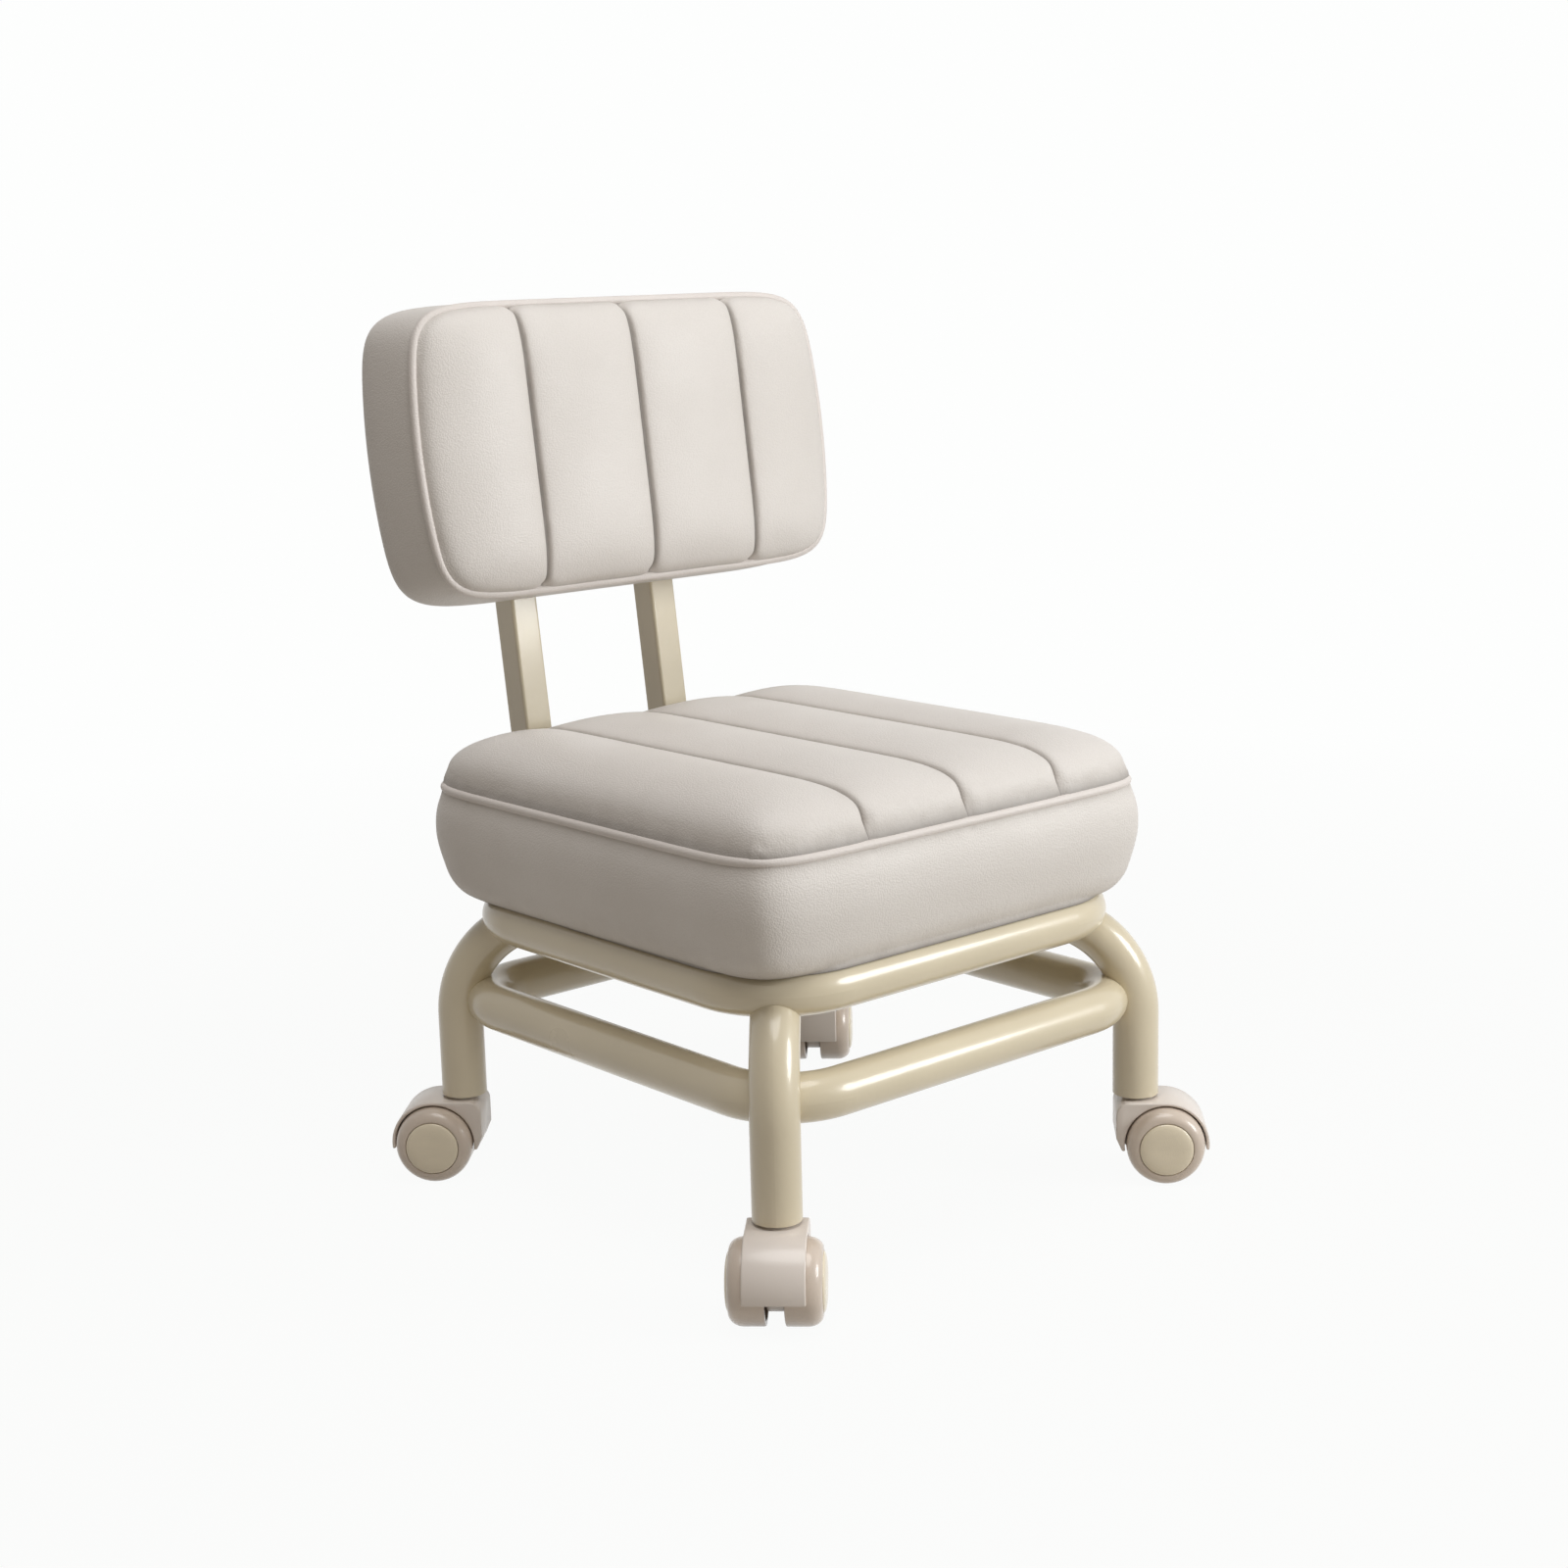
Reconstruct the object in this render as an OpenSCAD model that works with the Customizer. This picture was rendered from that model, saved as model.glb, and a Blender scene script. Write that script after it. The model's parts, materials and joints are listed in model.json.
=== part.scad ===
// Low rolling stool with a backrest: two bent tube rings on four bent tube legs, a boxed seat cushion,
// a leaning back cushion on two square posts, and four swivelling twin-wheel casters.
// +Z is up. The origin is on the floor, midway between the four legs. The sitter faces -Y.
// Left and right are as seen from the front, so left is -X.

/* [Frame tubes] */
// Outer diameter of the legs and both rings
tube_d = 28; // [25:0.5:30]
// Wall of the legs and rings
tube_wall = 1.5; // [1:0.1:2.5]

/* [Legs] */
// Distance from the left legs to the right legs
leg_span_x = 295; // [280:1:330]
// Distance from the front legs to the rear legs
leg_span_y = 300; // [285:1:330]
// Radius of the bend at the top of a leg, at its middle line
leg_bend_r = 63.5; // [58:0.5:68]
// How far a leg's middle line ends up below the upper ring's
leg_tuck_down = 3.5; // [0:0.5:6]
// How far a leg's end reaches inside the upper ring's corner line
leg_tuck_in = 12; // [9:0.5:14]
// Thickness of the weld plate that closes a leg's upper end
leg_end_plate = 3; // [1.5:0.5:5]

/* [Rings] */
// Height of the upper ring's middle line
upper_ring_z = 171.5; // [162:0.5:190]
// How far the upper ring's side bars lie inside the legs
upper_inset_x = 7.5; // [5:0.5:10]
// How far the upper ring's front and rear bars lie inside the legs
upper_inset_y = 9.5; // [7:0.5:12]
// Corner radius of the upper ring's middle line
upper_corner_r = 49; // [44:0.5:56]
// Height of the lower ring's middle line
lower_ring_z = 115; // [105:0.5:120]
// How far the lower ring's side bars lie inside the legs
lower_inset_x = 3.5; // [0:0.5:5]
// How far the lower ring's front and rear bars lie inside the legs, or outside if it is negative
lower_inset_y = -1.5; // [-3:0.5:3]
// Corner radius of the lower ring's middle line
lower_corner_r = 42.5; // [38:0.5:48]

/* [Seat rails] */
// Width of the two flat bars that carry the seat board
rail_w = 25; // [18:1:40]
// Thickness of the flat bars
rail_t = 3; // [2:0.5:5]
// From the front or rear bar's middle line to the middle line of the rail beside it
rail_inset = 65.5; // [63:0.5:100]
// How far the flat bars' ends stop short of the ring's middle line
rail_end_gap = 5; // [4:0.5:7]

/* [Seat cushion] */
// How far the seat's piping stands out over the upper ring's side bars, from their middle line
seat_over_x = 18.5; // [16:0.5:30]
// How far the seat's piping stands out over the upper ring's front and rear bars
seat_over_y = 20.5; // [18:0.5:30]
// How far the seat's middle lies behind the middle of the legs
seat_back_set = 6; // [2:0.5:10]
// Height of the seat's side, from the upper ring's top to the piping
seat_side_h = 64; // [50:1:85]
// Rise of the crown above the piping
seat_crown_h = 33.5; // [22:0.5:45]
// Depth of the sewn channels in the seat
seat_channel_h = 7.5; // [3:0.5:12]
// Distance between the seat's sewn grooves
seat_groove_pitch = 77; // [60:1:84]
// How far the seat's lower edge hangs down outside the upper ring, from the ring's top
seat_lip_h = 3; // [1:0.5:3]
// How far the seat's lower edge turns in below its piping
seat_edge_in = 10; // [6:0.5:12]
// Clearance between the upper ring and the bay for it in the seat's underside
seat_bay_play = 0.5; // [0.3:0.05:0.8]
// How far the seat's side swells out below the piping
seat_swell = 4.5; // [1:0.25:6]
// Thickness of the dust cloth under the seat
dust_cloth_t = 1; // [0.5:0.1:2]
// Thickness of the seat's plywood board
seat_board_t = 12; // [9:0.5:18]
// Thickness of the seat's foam core
seat_foam_h = 50; // [30:1:56]
// Distance from the seat board's edge to the seat's piping
seat_board_margin = 33; // [33:1:45]

/* [Posts] */
// Distance between the two back posts
post_pitch = 113; // [90:1:125]
// Width and depth of a square post
post_side = 20; // [16:0.5:24]
// Wall of a post
post_wall = 1.5; // [1:0.1:2.5]
// Rounding of a post's long edges
post_edge_r = 2; // [1:0.1:3]
// Lean of the posts and the backrest, in degrees
post_lean = 7.5; // [5:0.5:12]
// Gap between the seat's side and the posts behind it
post_seat_gap = 0.5; // [0.5:0.1:4]
// Radius of the bend at a post's foot, at its middle line
post_bend_r = 32; // [31:0.5:33]
// How far a post's foot meets the upper ring below the ring's middle line
post_tuck_down = 2; // [0:0.5:2]
// Height of a post's top above the upper ring, along the post
post_reach = 330; // [315:1:350]
// Thickness of a post plug's head
plug_head = 3; // [2:0.5:5]
// How far a post plug goes into the tube
plug_depth = 14; // [8:1:16]

/* [Back cushion] */
// Width of the backrest at its piping, near the corners
back_w = 304; // [270:1:340]
// Height of the backrest at its piping
back_h = 176.5; // [160:0.5:200]
// How far the backrest's sides bow out at mid height
back_bow = 9; // [0:0.5:20]
// How far the backrest's side stands out beyond its piping
back_flare = 4.5; // [2:0.5:12]
// Depth of the backrest from its piping to its rear face
back_side_d = 57.5; // [50:0.5:70]
// Rise of the backrest's front crown
back_crown_h = 19.5; // [12:0.5:28]
// Depth of the sewn channels in the backrest
back_channel_h = 7; // [3:0.5:12]
// Distance between the backrest's sewn grooves
back_groove_pitch = 84; // [60:1:90]
// Rounding of the backrest's rear edge
back_edge_r = 11.5; // [8:0.5:15]
// Height of the backrest's middle above the upper ring, along the posts
back_mid = 276.5; // [265:0.5:290]
// Thickness of the backrest's plywood board
back_board_t = 9; // [6:0.5:12]
// Thickness of the cover behind the back board
back_cover_t = 1.2; // [0.8:0.1:2]
// Thickness of the backrest's foam core
back_foam_d = 30; // [15:1:32]
// Distance from the back board's edge to the backrest's piping
back_board_margin = 14; // [13:1:24]

/* [Piping] */
// Diameter of the piping sewn into the edges
piping_d = 5.2; // [3:0.2:6]

/* [Fasteners] */
// Diameter of the screws
screw_d = 6; // [5:0.5:7]
// Diameter of a screw's head
screw_head_d = 11.5; // [9:0.5:14]
// Height of a screw's head
screw_head_h = 3.6; // [2.5:0.1:5]
// Width of the hexagon socket in a screw's head, across its corners
screw_socket_d = 4.6; // [3:0.1:6]
// Clearance all round a screw in the holes it passes through
screw_play = 0.3; // [0.1:0.05:0.5]
// Diameter of a washer
washer_d = 15; // [14:0.5:18]
// Thickness of a washer
washer_t = 1.4; // [0.8:0.1:2.5]
// Diameter of a tee nut's flange
nut_flange_d = 19; // [15:0.5:24]
// Thickness of a tee nut's flange
nut_flange_t = 1.5; // [1:0.1:2.5]
// Wall of a tee nut's barrel
nut_wall = 1.3; // [1:0.1:2]
// How far a tee nut's barrel stops short of the board's far face
nut_short = 1; // [0.5:0.1:2]
// Distance between the left and right seat screws
seat_screw_pitch = 170; // [120:1:200]
// Distance between the upper and lower back screws
back_screw_pitch = 70; // [50:1:74]

/* [Casters] */
// Diameter of a wheel
wheel_d = 48; // [44:0.5:52]
// Width of a wheel's flat tread
wheel_tread_w = 12; // [9:0.5:14]
// Width of a wheel's domed outer side
wheel_dome_w = 8.4; // [6:0.2:10]
// Distance between a caster's two wheels
wheel_gap = 10.6; // [10:0.1:13]
// Wall of a wheel behind its tread and its outer side
wheel_wall = 3; // [2:0.5:4]
// Diameter of a wheel's hub
hub_d = 15; // [12:0.5:20]
// Diameter of the round cap on a wheel
cap_d = 33; // [28:0.5:36]
// How far a cap's dome stands out of the wheel
cap_rise = 2; // [1:0.2:3]
// How deep a cap sits in the wheel
cap_depth = 2.6; // [1.5:0.1:4]
// Distance from a caster's swivel line to its wheels' line
caster_trail = 17.5; // [16:0.5:20]
// Gap between a wheel's tread and the hood over it
hood_gap = 1; // [0.6:0.1:2]
// Wall of the hood
hood_wall = 2; // [1.5:0.1:3]
// Degrees that the hood's free edge lies below the axle
hood_droop = 7; // [0:0.5:12]
// Reach of the caster's nose past its swivel line
nose_reach = 12.7; // [12:0.1:15]
// Rounding of the nose's upper edge
nose_r = 8; // [4:0.5:9]
// Thickness of the nose at its foot
nose_foot_t = 2; // [1:0.1:2.6]
// Gap between a wheel and the web beside it
web_side_gap = 0.5; // [0.3:0.1:0.8]
// Diameter of the web's round boss at the axle
web_boss_d = 32; // [24:1:38]
// Diameter of the axle
axle_d = 6; // [4:0.5:8]
// Diameter of the axle's riveted heads
axle_head_d = 9; // [8.6:0.2:11]
// Thickness of the axle's riveted heads
axle_head_t = 1.2; // [0.8:0.1:2]
// Gap all round a riveted head in the wheel
axle_head_gap = 0.2; // [0.1:0.05:0.5]
// Clearance at the radius of every turning fit
run_fit = 0.05; // [0.01:0.01:0.1]

/* [Stems] */
// Diameter of a stem in its socket
stem_d = 11; // [9:0.5:12]
// Length of a stem above its collar
stem_h = 26; // [18:1:32]
// Diameter of the stem's collar
collar_d = 17; // [14:0.5:20]
// Thickness of the stem's collar
collar_t = 1.8; // [1:0.1:3]
// Gap between the collar and the caster that turns under it
collar_gap = 0.2; // [0.1:0.05:0.4]
// Diameter of the pin that the caster turns on
swivel_pin_d = 7; // [5:0.1:7.2]
// Length of the pin that the caster turns on
swivel_pin_h = 20; // [12:0.5:24]
// Space left under the pin's end
pin_end_gap = 1; // [0.5:0.1:2]
// Length of the socket in a leg's lower end
socket_h = 34; // [32:1:40]
// Clearance all round a piece that is pushed into another
push_fit = 0.05; // [0.02:0.01:0.1]

/* [Hidden] */
CORNERS = ["front_left", "front_right", "rear_left", "rear_right"];
SIDES = ["left", "right"];
ENDS = ["front", "rear"];
TWINS = ["a", "b"];

$fn = 64;
// One overrun for every cut
cut = 1;

// Colours
CREAM = [0.80, 0.76, 0.66];
PINK_CREAM = [0.80, 0.73, 0.67];
HIDE = [0.87, 0.85, 0.83];
CLOTH = [0.80, 0.78, 0.74];
FOAM = [0.93, 0.89, 0.74];
PLYWOOD = [0.80, 0.66, 0.46];
STEEL = [0.72, 0.72, 0.74];
NYLON = [0.86, 0.83, 0.78];

// Signs along X and Y of CORNERS, and along X or Y of SIDES, ENDS and TWINS
CORNER_SIGNS = [[-1, -1], [1, -1], [-1, 1], [1, 1]];
PAIR_SIGNS = [-1, 1];

// Tubes and rings, as half sizes of their middle lines
tube_r = tube_d / 2;
bore_r = tube_r - tube_wall;
upper_x = leg_span_x / 2 - upper_inset_x;
upper_y = leg_span_y / 2 - upper_inset_y;
lower_x = leg_span_x / 2 - lower_inset_x;
lower_y = leg_span_y / 2 - lower_inset_y;
ring_top_z = upper_ring_z + tube_r;

// Casters, from the floor up
wheel_r = wheel_d / 2;
hood_in_r = wheel_r + hood_gap;
hood_r = hood_in_r + hood_wall;
caster_top_z = wheel_r + hood_r;
hood_w = wheel_gap + 2 * wheel_tread_w;
web_t = wheel_gap - 2 * web_side_gap;
nose_low_share = 1.17;
nose_foot_share = 0.83;
nose_low_z = wheel_r * nose_low_share;
nose_foot_z = wheel_r * nose_foot_share;
nose_foot_x = caster_trail - sqrt(pow(hood_in_r, 2) - pow(wheel_r - nose_foot_z, 2)) - nose_foot_t;

// Wheels, as distances from the caster's middle plane
wheel_in = wheel_gap / 2;
tread_end = wheel_in + wheel_tread_w;
wheel_end = tread_end + wheel_dome_w;
cap_floor = wheel_end - cap_depth;
cap_r = cap_d / 2;
cap_lip = 1;
tread_chamfer = 0.8;
axle_half = cap_floor - axle_head_gap;
dome_steps = 8;
cap_flat_power = 0.5;

// Stems
leg_foot_z = caster_top_z + collar_gap + collar_t;
stem_chamfer = 1;

// A leg's bend lies in the upright plane through the leg and the middle of the upper ring's corner
leg_reach_x = upper_inset_x + upper_corner_r;
leg_reach_y = upper_inset_y + upper_corner_r;
leg_reach = norm([leg_reach_x, leg_reach_y]);
leg_bend_z = upper_ring_z - leg_tuck_down - leg_bend_r;
leg_bend_a = acos(1 - (leg_reach - upper_corner_r + leg_tuck_in) / leg_bend_r);
leg_plate_a = leg_end_plate / leg_bend_r * 180 / PI;

// Seat, from the upper ring's top up
seat_x = upper_x + seat_over_x;
seat_y = upper_y + seat_over_y;
seat_z = ring_top_z;
seat_board_z = seat_z + dust_cloth_t;
seat_foam_z = seat_board_z + seat_board_t;
seat_piping_z = seat_z + seat_side_h;
seat_core = [seat_x - seat_board_margin, seat_y - seat_board_margin];
seat_screw_x = seat_screw_pitch / 2;
rail_y = upper_y - rail_inset;
rail_x = upper_x - rail_end_gap;
rail_z = ring_top_z - rail_t;

// Seat side below its piping, down to its lip: shares of its height, its swell and its turned-in edge
SEAT_SIDE_SHARES = [
    [0.21, 0.82, 0], [0.4, 1, 0], [0.55, 0.77, 0], [0.7, 0.3, 0], [0.82, 0, 0.07],
    [0.91, 0, 0.36], [0.97, 0, 0.68], [1, 0, 1]
];
seat_full_h = seat_side_h + seat_lip_h;
seat_lip_z = seat_piping_z - seat_full_h;
// The bay's wall lies outside the ring's middle line by what the ring measures where the lip ends
seat_bay_out = sqrt(pow(tube_r, 2) - pow(tube_r - seat_lip_h, 2)) + seat_bay_play;
// The posts come nearest to the seat's side at this place
seat_near = SEAT_SIDE_SHARES[2];
seat_near_y = seat_back_set + seat_y + seat_near[1] * seat_swell;
seat_near_h = seat_piping_z - seat_near[0] * seat_full_h - upper_ring_z;

// Posts: the line of their front faces meets the ring's height at post_face_y, and their straights
// start where the bends end
post_x = post_pitch / 2;
post_face_y = seat_near_y + post_seat_gap - seat_near_h * tan(post_lean);
post_rise = post_bend_r * (1 - sin(post_lean)) + post_side / 2 * sin(post_lean) - post_tuck_down;
post_straight = post_rise / cos(post_lean);
post_bore = post_side - 2 * post_wall;

// Back, in the leaning frame: x across, y to the rear from the posts' front faces, z up the posts
back_x = back_w / 2;
back_z = back_h / 2;
back_core = [back_x - back_board_margin, back_z - back_board_margin];
back_board_front = back_cover_t + back_board_t;
back_screw_z = back_screw_pitch / 2;

// Back side behind its piping: shares of its depth, its flare and its rear rounding
BACK_SIDE_SHARES = [[0.2, 0.45, 0], [0.5, 0.9, 0], [0.77, 1, 0], [0.93, 1, 0.32], [1, 1, 1]];

// Cushion outlines and crowns
outline_power = 9.6;
bow_power = 3;
SEAT_CROWN_POWERS = [7.8, 1.8];
BACK_CROWN_POWERS = [6, 2];
channel_power = 0.6;
channel_floor_share = 0.6;
channel_fade_power = 6;
// Steps across a channel from one groove to the next, across an edge channel, and along the channels
CHANNEL_STEP_SHARES = [0, 0.1, 0.26, 0.5, 0.74, 0.9];
EDGE_STEP_SHARES = [0, 0.1, 0.3, 0.55, 0.78, 0.92, 0.98, 1];
LENGTH_STEP_SHARES = [0, 0.3, 0.58, 0.78, 0.9, 0.965, 1];
piping_sides = 8;

// Fasteners
screw_hole_d = screw_d + 2 * screw_play;
nut_barrel_d = screw_d + 2 * push_fit + 2 * nut_wall;
nut_hole_d = nut_barrel_d + 2 * push_fit;
socket_share = 0.55;

// A shape placed at corner i, and one turned so that +X points outward along the corner's diagonal
module at_leg(i) {
    translate([CORNER_SIGNS[i][0] * leg_span_x / 2, CORNER_SIGNS[i][1] * leg_span_y / 2, 0]) children();
}
module at_caster(i) {
    at_leg(i) rotate([0, 0, atan2(CORNER_SIGNS[i][1], CORNER_SIGNS[i][0])]) children();
}

// The caster's axle line, with +Z along it towards side s
module at_axle(i, s) {
    at_caster(i) translate([caster_trail, 0, wheel_r]) rotate([-90 * s, 0, 0]) children();
}

// The frame that leans with the posts
module leaning() {
    translate([0, post_face_y, upper_ring_z]) rotate([-post_lean, 0, 0]) children();
}

// A closed ring of round bar or bore, with half sizes x and y and corner radius c
module ring_bar(x, y, z, c, r) {
    translate([0, 0, z]) for (s = PAIR_SIGNS) {
        translate([-(x - c), s * y, 0]) rotate([0, 90, 0]) cylinder(r = r, h = 2 * (x - c));
        translate([s * x, y - c, 0]) rotate([90, 0, 0]) cylinder(r = r, h = 2 * (y - c));
    }
    translate([0, 0, z]) for (k = [0 : 3]) {
        sx = k == 0 || k == 3 ? 1 : -1;
        sy = k < 2 ? 1 : -1;
        translate([sx * (x - c), sy * (y - c), 0]) rotate([0, 0, 90 * k])
            rotate_extrude(angle = 90) translate([c, 0]) circle(r = r);
    }
}
module upper_bar(r) {
    ring_bar(upper_x, upper_y, upper_ring_z, upper_corner_r, r);
}

// The front left corner's shape, mirrored to corner i
module mirrored_to(i) {
    mirror([CORNER_SIGNS[i][0] + 1, 0, 0]) mirror([0, CORNER_SIGNS[i][1] + 1, 0]) children();
}

// The front left leg as a solid bar of radius r, with its foot at z and its bend swept through a degrees
module leg_bar(r, z, a) {
    translate([-leg_span_x / 2, -leg_span_y / 2, leg_bend_z])
        rotate([90, 0, atan2(-leg_reach_y, -leg_reach_x)])
        translate([-leg_bend_r, 0, 0]) {
            translate([leg_bend_r, 0, 0]) rotate([90, 0, 0]) cylinder(r = r, h = leg_bend_z - z);
            rotate_extrude(angle = a) translate([leg_bend_r, 0]) circle(r = r);
        }
}

module rounded_square(x, y, r) {
    square([x - 2 * r, y], center = true);
    square([x, y - 2 * r], center = true);
    for (sx = PAIR_SIGNS, sy = PAIR_SIGNS)
        translate([sx * (x / 2 - r), sy * (y / 2 - r)]) circle(r = r);
}

// A flat plate with half sizes h, corner radius c and thickness t
module core_plate(h, c, t) {
    linear_extrude(height = t) rounded_square(2 * h[0], 2 * h[1], c);
}

// Frame
module upper_ring() {
    color(CREAM) difference() {
        upper_bar(tube_r);
        upper_bar(bore_r);
    }
}

module lower_ring() {
    color(CREAM) difference() {
        ring_bar(lower_x, lower_y, lower_ring_z, lower_corner_r, tube_r);
        ring_bar(lower_x, lower_y, lower_ring_z, lower_corner_r, bore_r);
        for (i = [0 : 3]) mirrored_to(i) leg_bar(tube_r, leg_foot_z, leg_bend_a);
    }
}

module leg(i) {
    color(CREAM) mirrored_to(i) difference() {
        leg_bar(tube_r, leg_foot_z, leg_bend_a);
        leg_bar(bore_r, leg_foot_z - cut, leg_bend_a - leg_plate_a);
        upper_bar(tube_r);
    }
}

module socket(i) {
    color(NYLON) at_leg(i) translate([0, 0, leg_foot_z]) difference() {
        cylinder(r = bore_r - push_fit, h = socket_h);
        translate([0, 0, -cut]) cylinder(d = stem_d + 2 * push_fit, h = socket_h + 2 * cut);
    }
}

// A post's square section, outside or bore
module post_section(bore) {
    if (bore) square(post_bore, center = true);
    else rounded_square(post_side, post_side, post_edge_r);
}

// A post as a bar: its straight, and the bend that runs forward into the upper ring's rear bar
module post_bar(x, bore, over) {
    leaning() translate([x, post_side / 2 - post_bend_r, post_straight]) {
        translate([0, post_bend_r, 0])
            linear_extrude(height = post_reach - post_straight + over) post_section(bore);
        rotate([-90, 0, 90])
            rotate_extrude(angle = 90 - post_lean) translate([post_bend_r, 0]) post_section(bore);
    }
}

module post(s) {
    color(CREAM) difference() {
        post_bar(s * post_x, false, 0);
        post_bar(s * post_x, true, cut);
        upper_bar(tube_r);
        back_screw_places(s) translate([0, 0, -cut]) cylinder(d = screw_hole_d, h = post_side + 2 * cut);
    }
}

module post_plug(s) {
    color(NYLON) leaning() translate([s * post_x, post_side / 2, post_reach]) {
        linear_extrude(height = plug_head) rounded_square(post_side, post_side, post_edge_r);
        translate([0, 0, -plug_depth]) linear_extrude(height = plug_depth)
            square(post_bore - 2 * push_fit, center = true);
    }
}

module seat_rail(s) {
    color(CREAM) difference() {
        translate([-rail_x, s * rail_y - rail_w / 2, rail_z]) cube([2 * rail_x, rail_w, rail_t]);
        upper_bar(tube_r);
        for (sx = PAIR_SIGNS) translate([sx * seat_screw_x, s * rail_y, rail_z - cut])
            cylinder(d = screw_hole_d, h = rail_t + 2 * cut);
    }
}

// Fasteners, with +Z from the head towards the tip and z = 0 under the head
module screw(length) {
    difference() {
        union() {
            translate([0, 0, -screw_head_h]) cylinder(d = screw_head_d, h = screw_head_h);
            cylinder(d = screw_d, h = length);
        }
        translate([0, 0, -screw_head_h - cut])
            cylinder(d = screw_socket_d, h = screw_head_h * socket_share + cut, $fn = 6);
    }
}

// A tee nut whose flange lies on z = 0, with its barrel below
module tee_nut(barrel) {
    difference() {
        union() {
            cylinder(d = nut_flange_d, h = nut_flange_t);
            translate([0, 0, -barrel]) cylinder(d = nut_barrel_d, h = barrel);
        }
        translate([0, 0, -barrel - cut])
            cylinder(d = screw_d + 2 * push_fit, h = barrel + nut_flange_t + 2 * cut);
    }
}

module seat_screw_places(z) {
    for (sx = PAIR_SIGNS, sy = PAIR_SIGNS) translate([sx * seat_screw_x, sy * rail_y, z]) children();
}

// The back screws' places on side s, with +Z to the rear from the posts' front faces
module back_screw_places(s) {
    leaning() for (sz = PAIR_SIGNS)
        translate([s * post_x, 0, back_mid + sz * back_screw_z]) rotate([-90, 0, 0]) children();
}

module seat_screws() {
    color(STEEL) seat_screw_places(rail_z) screw(rail_t + dust_cloth_t + seat_board_t + nut_flange_t);
}

module seat_tee_nuts() {
    color(STEEL) seat_screw_places(seat_foam_z) tee_nut(seat_board_t - nut_short);
}

module back_screws() {
    color(STEEL) for (s = PAIR_SIGNS) back_screw_places(s)
        translate([0, 0, post_side + washer_t]) rotate([180, 0, 0])
        screw(washer_t + post_side + back_board_front + nut_flange_t);
}

module back_washers() {
    color(STEEL) for (s = PAIR_SIGNS) back_screw_places(s) translate([0, 0, post_side]) difference() {
        cylinder(d = washer_d, h = washer_t);
        translate([0, 0, -cut]) cylinder(d = screw_hole_d, h = washer_t + 2 * cut);
    }
}

module back_tee_nuts() {
    color(STEEL) for (s = PAIR_SIGNS) back_screw_places(s)
        translate([0, 0, -back_board_front]) rotate([180, 0, 0]) tee_nut(back_board_t - nut_short);
}

// Seat
module at_seat(z) {
    translate([0, seat_back_set, z]) children();
}

module seat_dust_cloth() {
    color(CLOTH) difference() {
        at_seat(seat_z) core_plate(seat_core, seat_board_margin, dust_cloth_t);
        seat_screw_places(seat_z - cut) cylinder(d = screw_hole_d, h = dust_cloth_t + 2 * cut);
    }
}

module seat_board() {
    color(PLYWOOD) difference() {
        at_seat(seat_board_z) core_plate(seat_core, seat_board_margin, seat_board_t);
        seat_screw_places(seat_board_z - cut) cylinder(d = nut_hole_d, h = seat_board_t + 2 * cut);
    }
}

module seat_foam() {
    color(FOAM) difference() {
        at_seat(seat_foam_z) core_plate(seat_core, seat_board_margin, seat_foam_h);
        seat_screw_places(seat_foam_z - cut)
            cylinder(d = nut_flange_d + 2 * push_fit, h = nut_flange_t + push_fit + cut);
    }
}

// Half a cushion's grid lines as shares of its half size, across the channels, and all of them
function across_half(g) = concat(
    [for (s = CHANNEL_STEP_SHARES) s * g],
    [for (s = EDGE_STEP_SHARES) g + s * (1 - g)]
);
function both_ways(half) = concat([for (k = [len(half) - 1 : -1 : 1]) -half[k]], half);

// A point of the unit square drawn in to the cushion's rounded outline, then out to its real size
function drawn_in(u, v) =
    let (
        m = max(abs(u), abs(v)),
        n = pow(pow(abs(u), outline_power) + pow(abs(v), outline_power), 1 / outline_power)
    )
    m == 0 ? [0, 0] : [u, v] * (m / n);
function placed(q, half, bow) =
    [q[0] * half[0] + bow * sign(q[0]) * pow(abs(q[0]), bow_power) * (1 - q[1] * q[1]), q[1] * half[1]];

// Height of the crown at share m of the way to the piping, x from the middle line
function channel(x, pitch) =
    let (k = abs(x) / pitch, f = k < 1 ? k : min(k - 1, 0.5))
    pow(sin(180 * f), channel_power) - channel_floor_share;
function crown(m, x, rise, powers, pitch, depth) =
    rise * pow(max(1 - pow(m, powers[0]), 0), 1 / powers[1])
    + depth * channel(x, pitch) * (1 - pow(m, channel_fade_power));

// The outline's places on the unit square, counterclockwise from its first corner
function rim_places(us, vs) = let (nu = len(us) - 1, nv = len(vs) - 1) concat(
    [for (i = [0 : nu - 1]) [us[i], vs[0]]],
    [for (j = [0 : nv - 1]) [us[nu], vs[j]]],
    [for (i = [nu : -1 : 1]) [us[i], vs[nv]]],
    [for (j = [nv : -1 : 1]) [us[0], vs[j]]]
);
function rim_index(nu, nv) = concat(
    [for (i = [0 : nu - 2]) i],
    [for (j = [0 : nv - 2]) j * nu + nu - 1],
    [for (i = [nu - 1 : -1 : 1]) (nv - 1) * nu + i],
    [for (j = [nv - 1 : -1 : 1]) j * nu]
);

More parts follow.
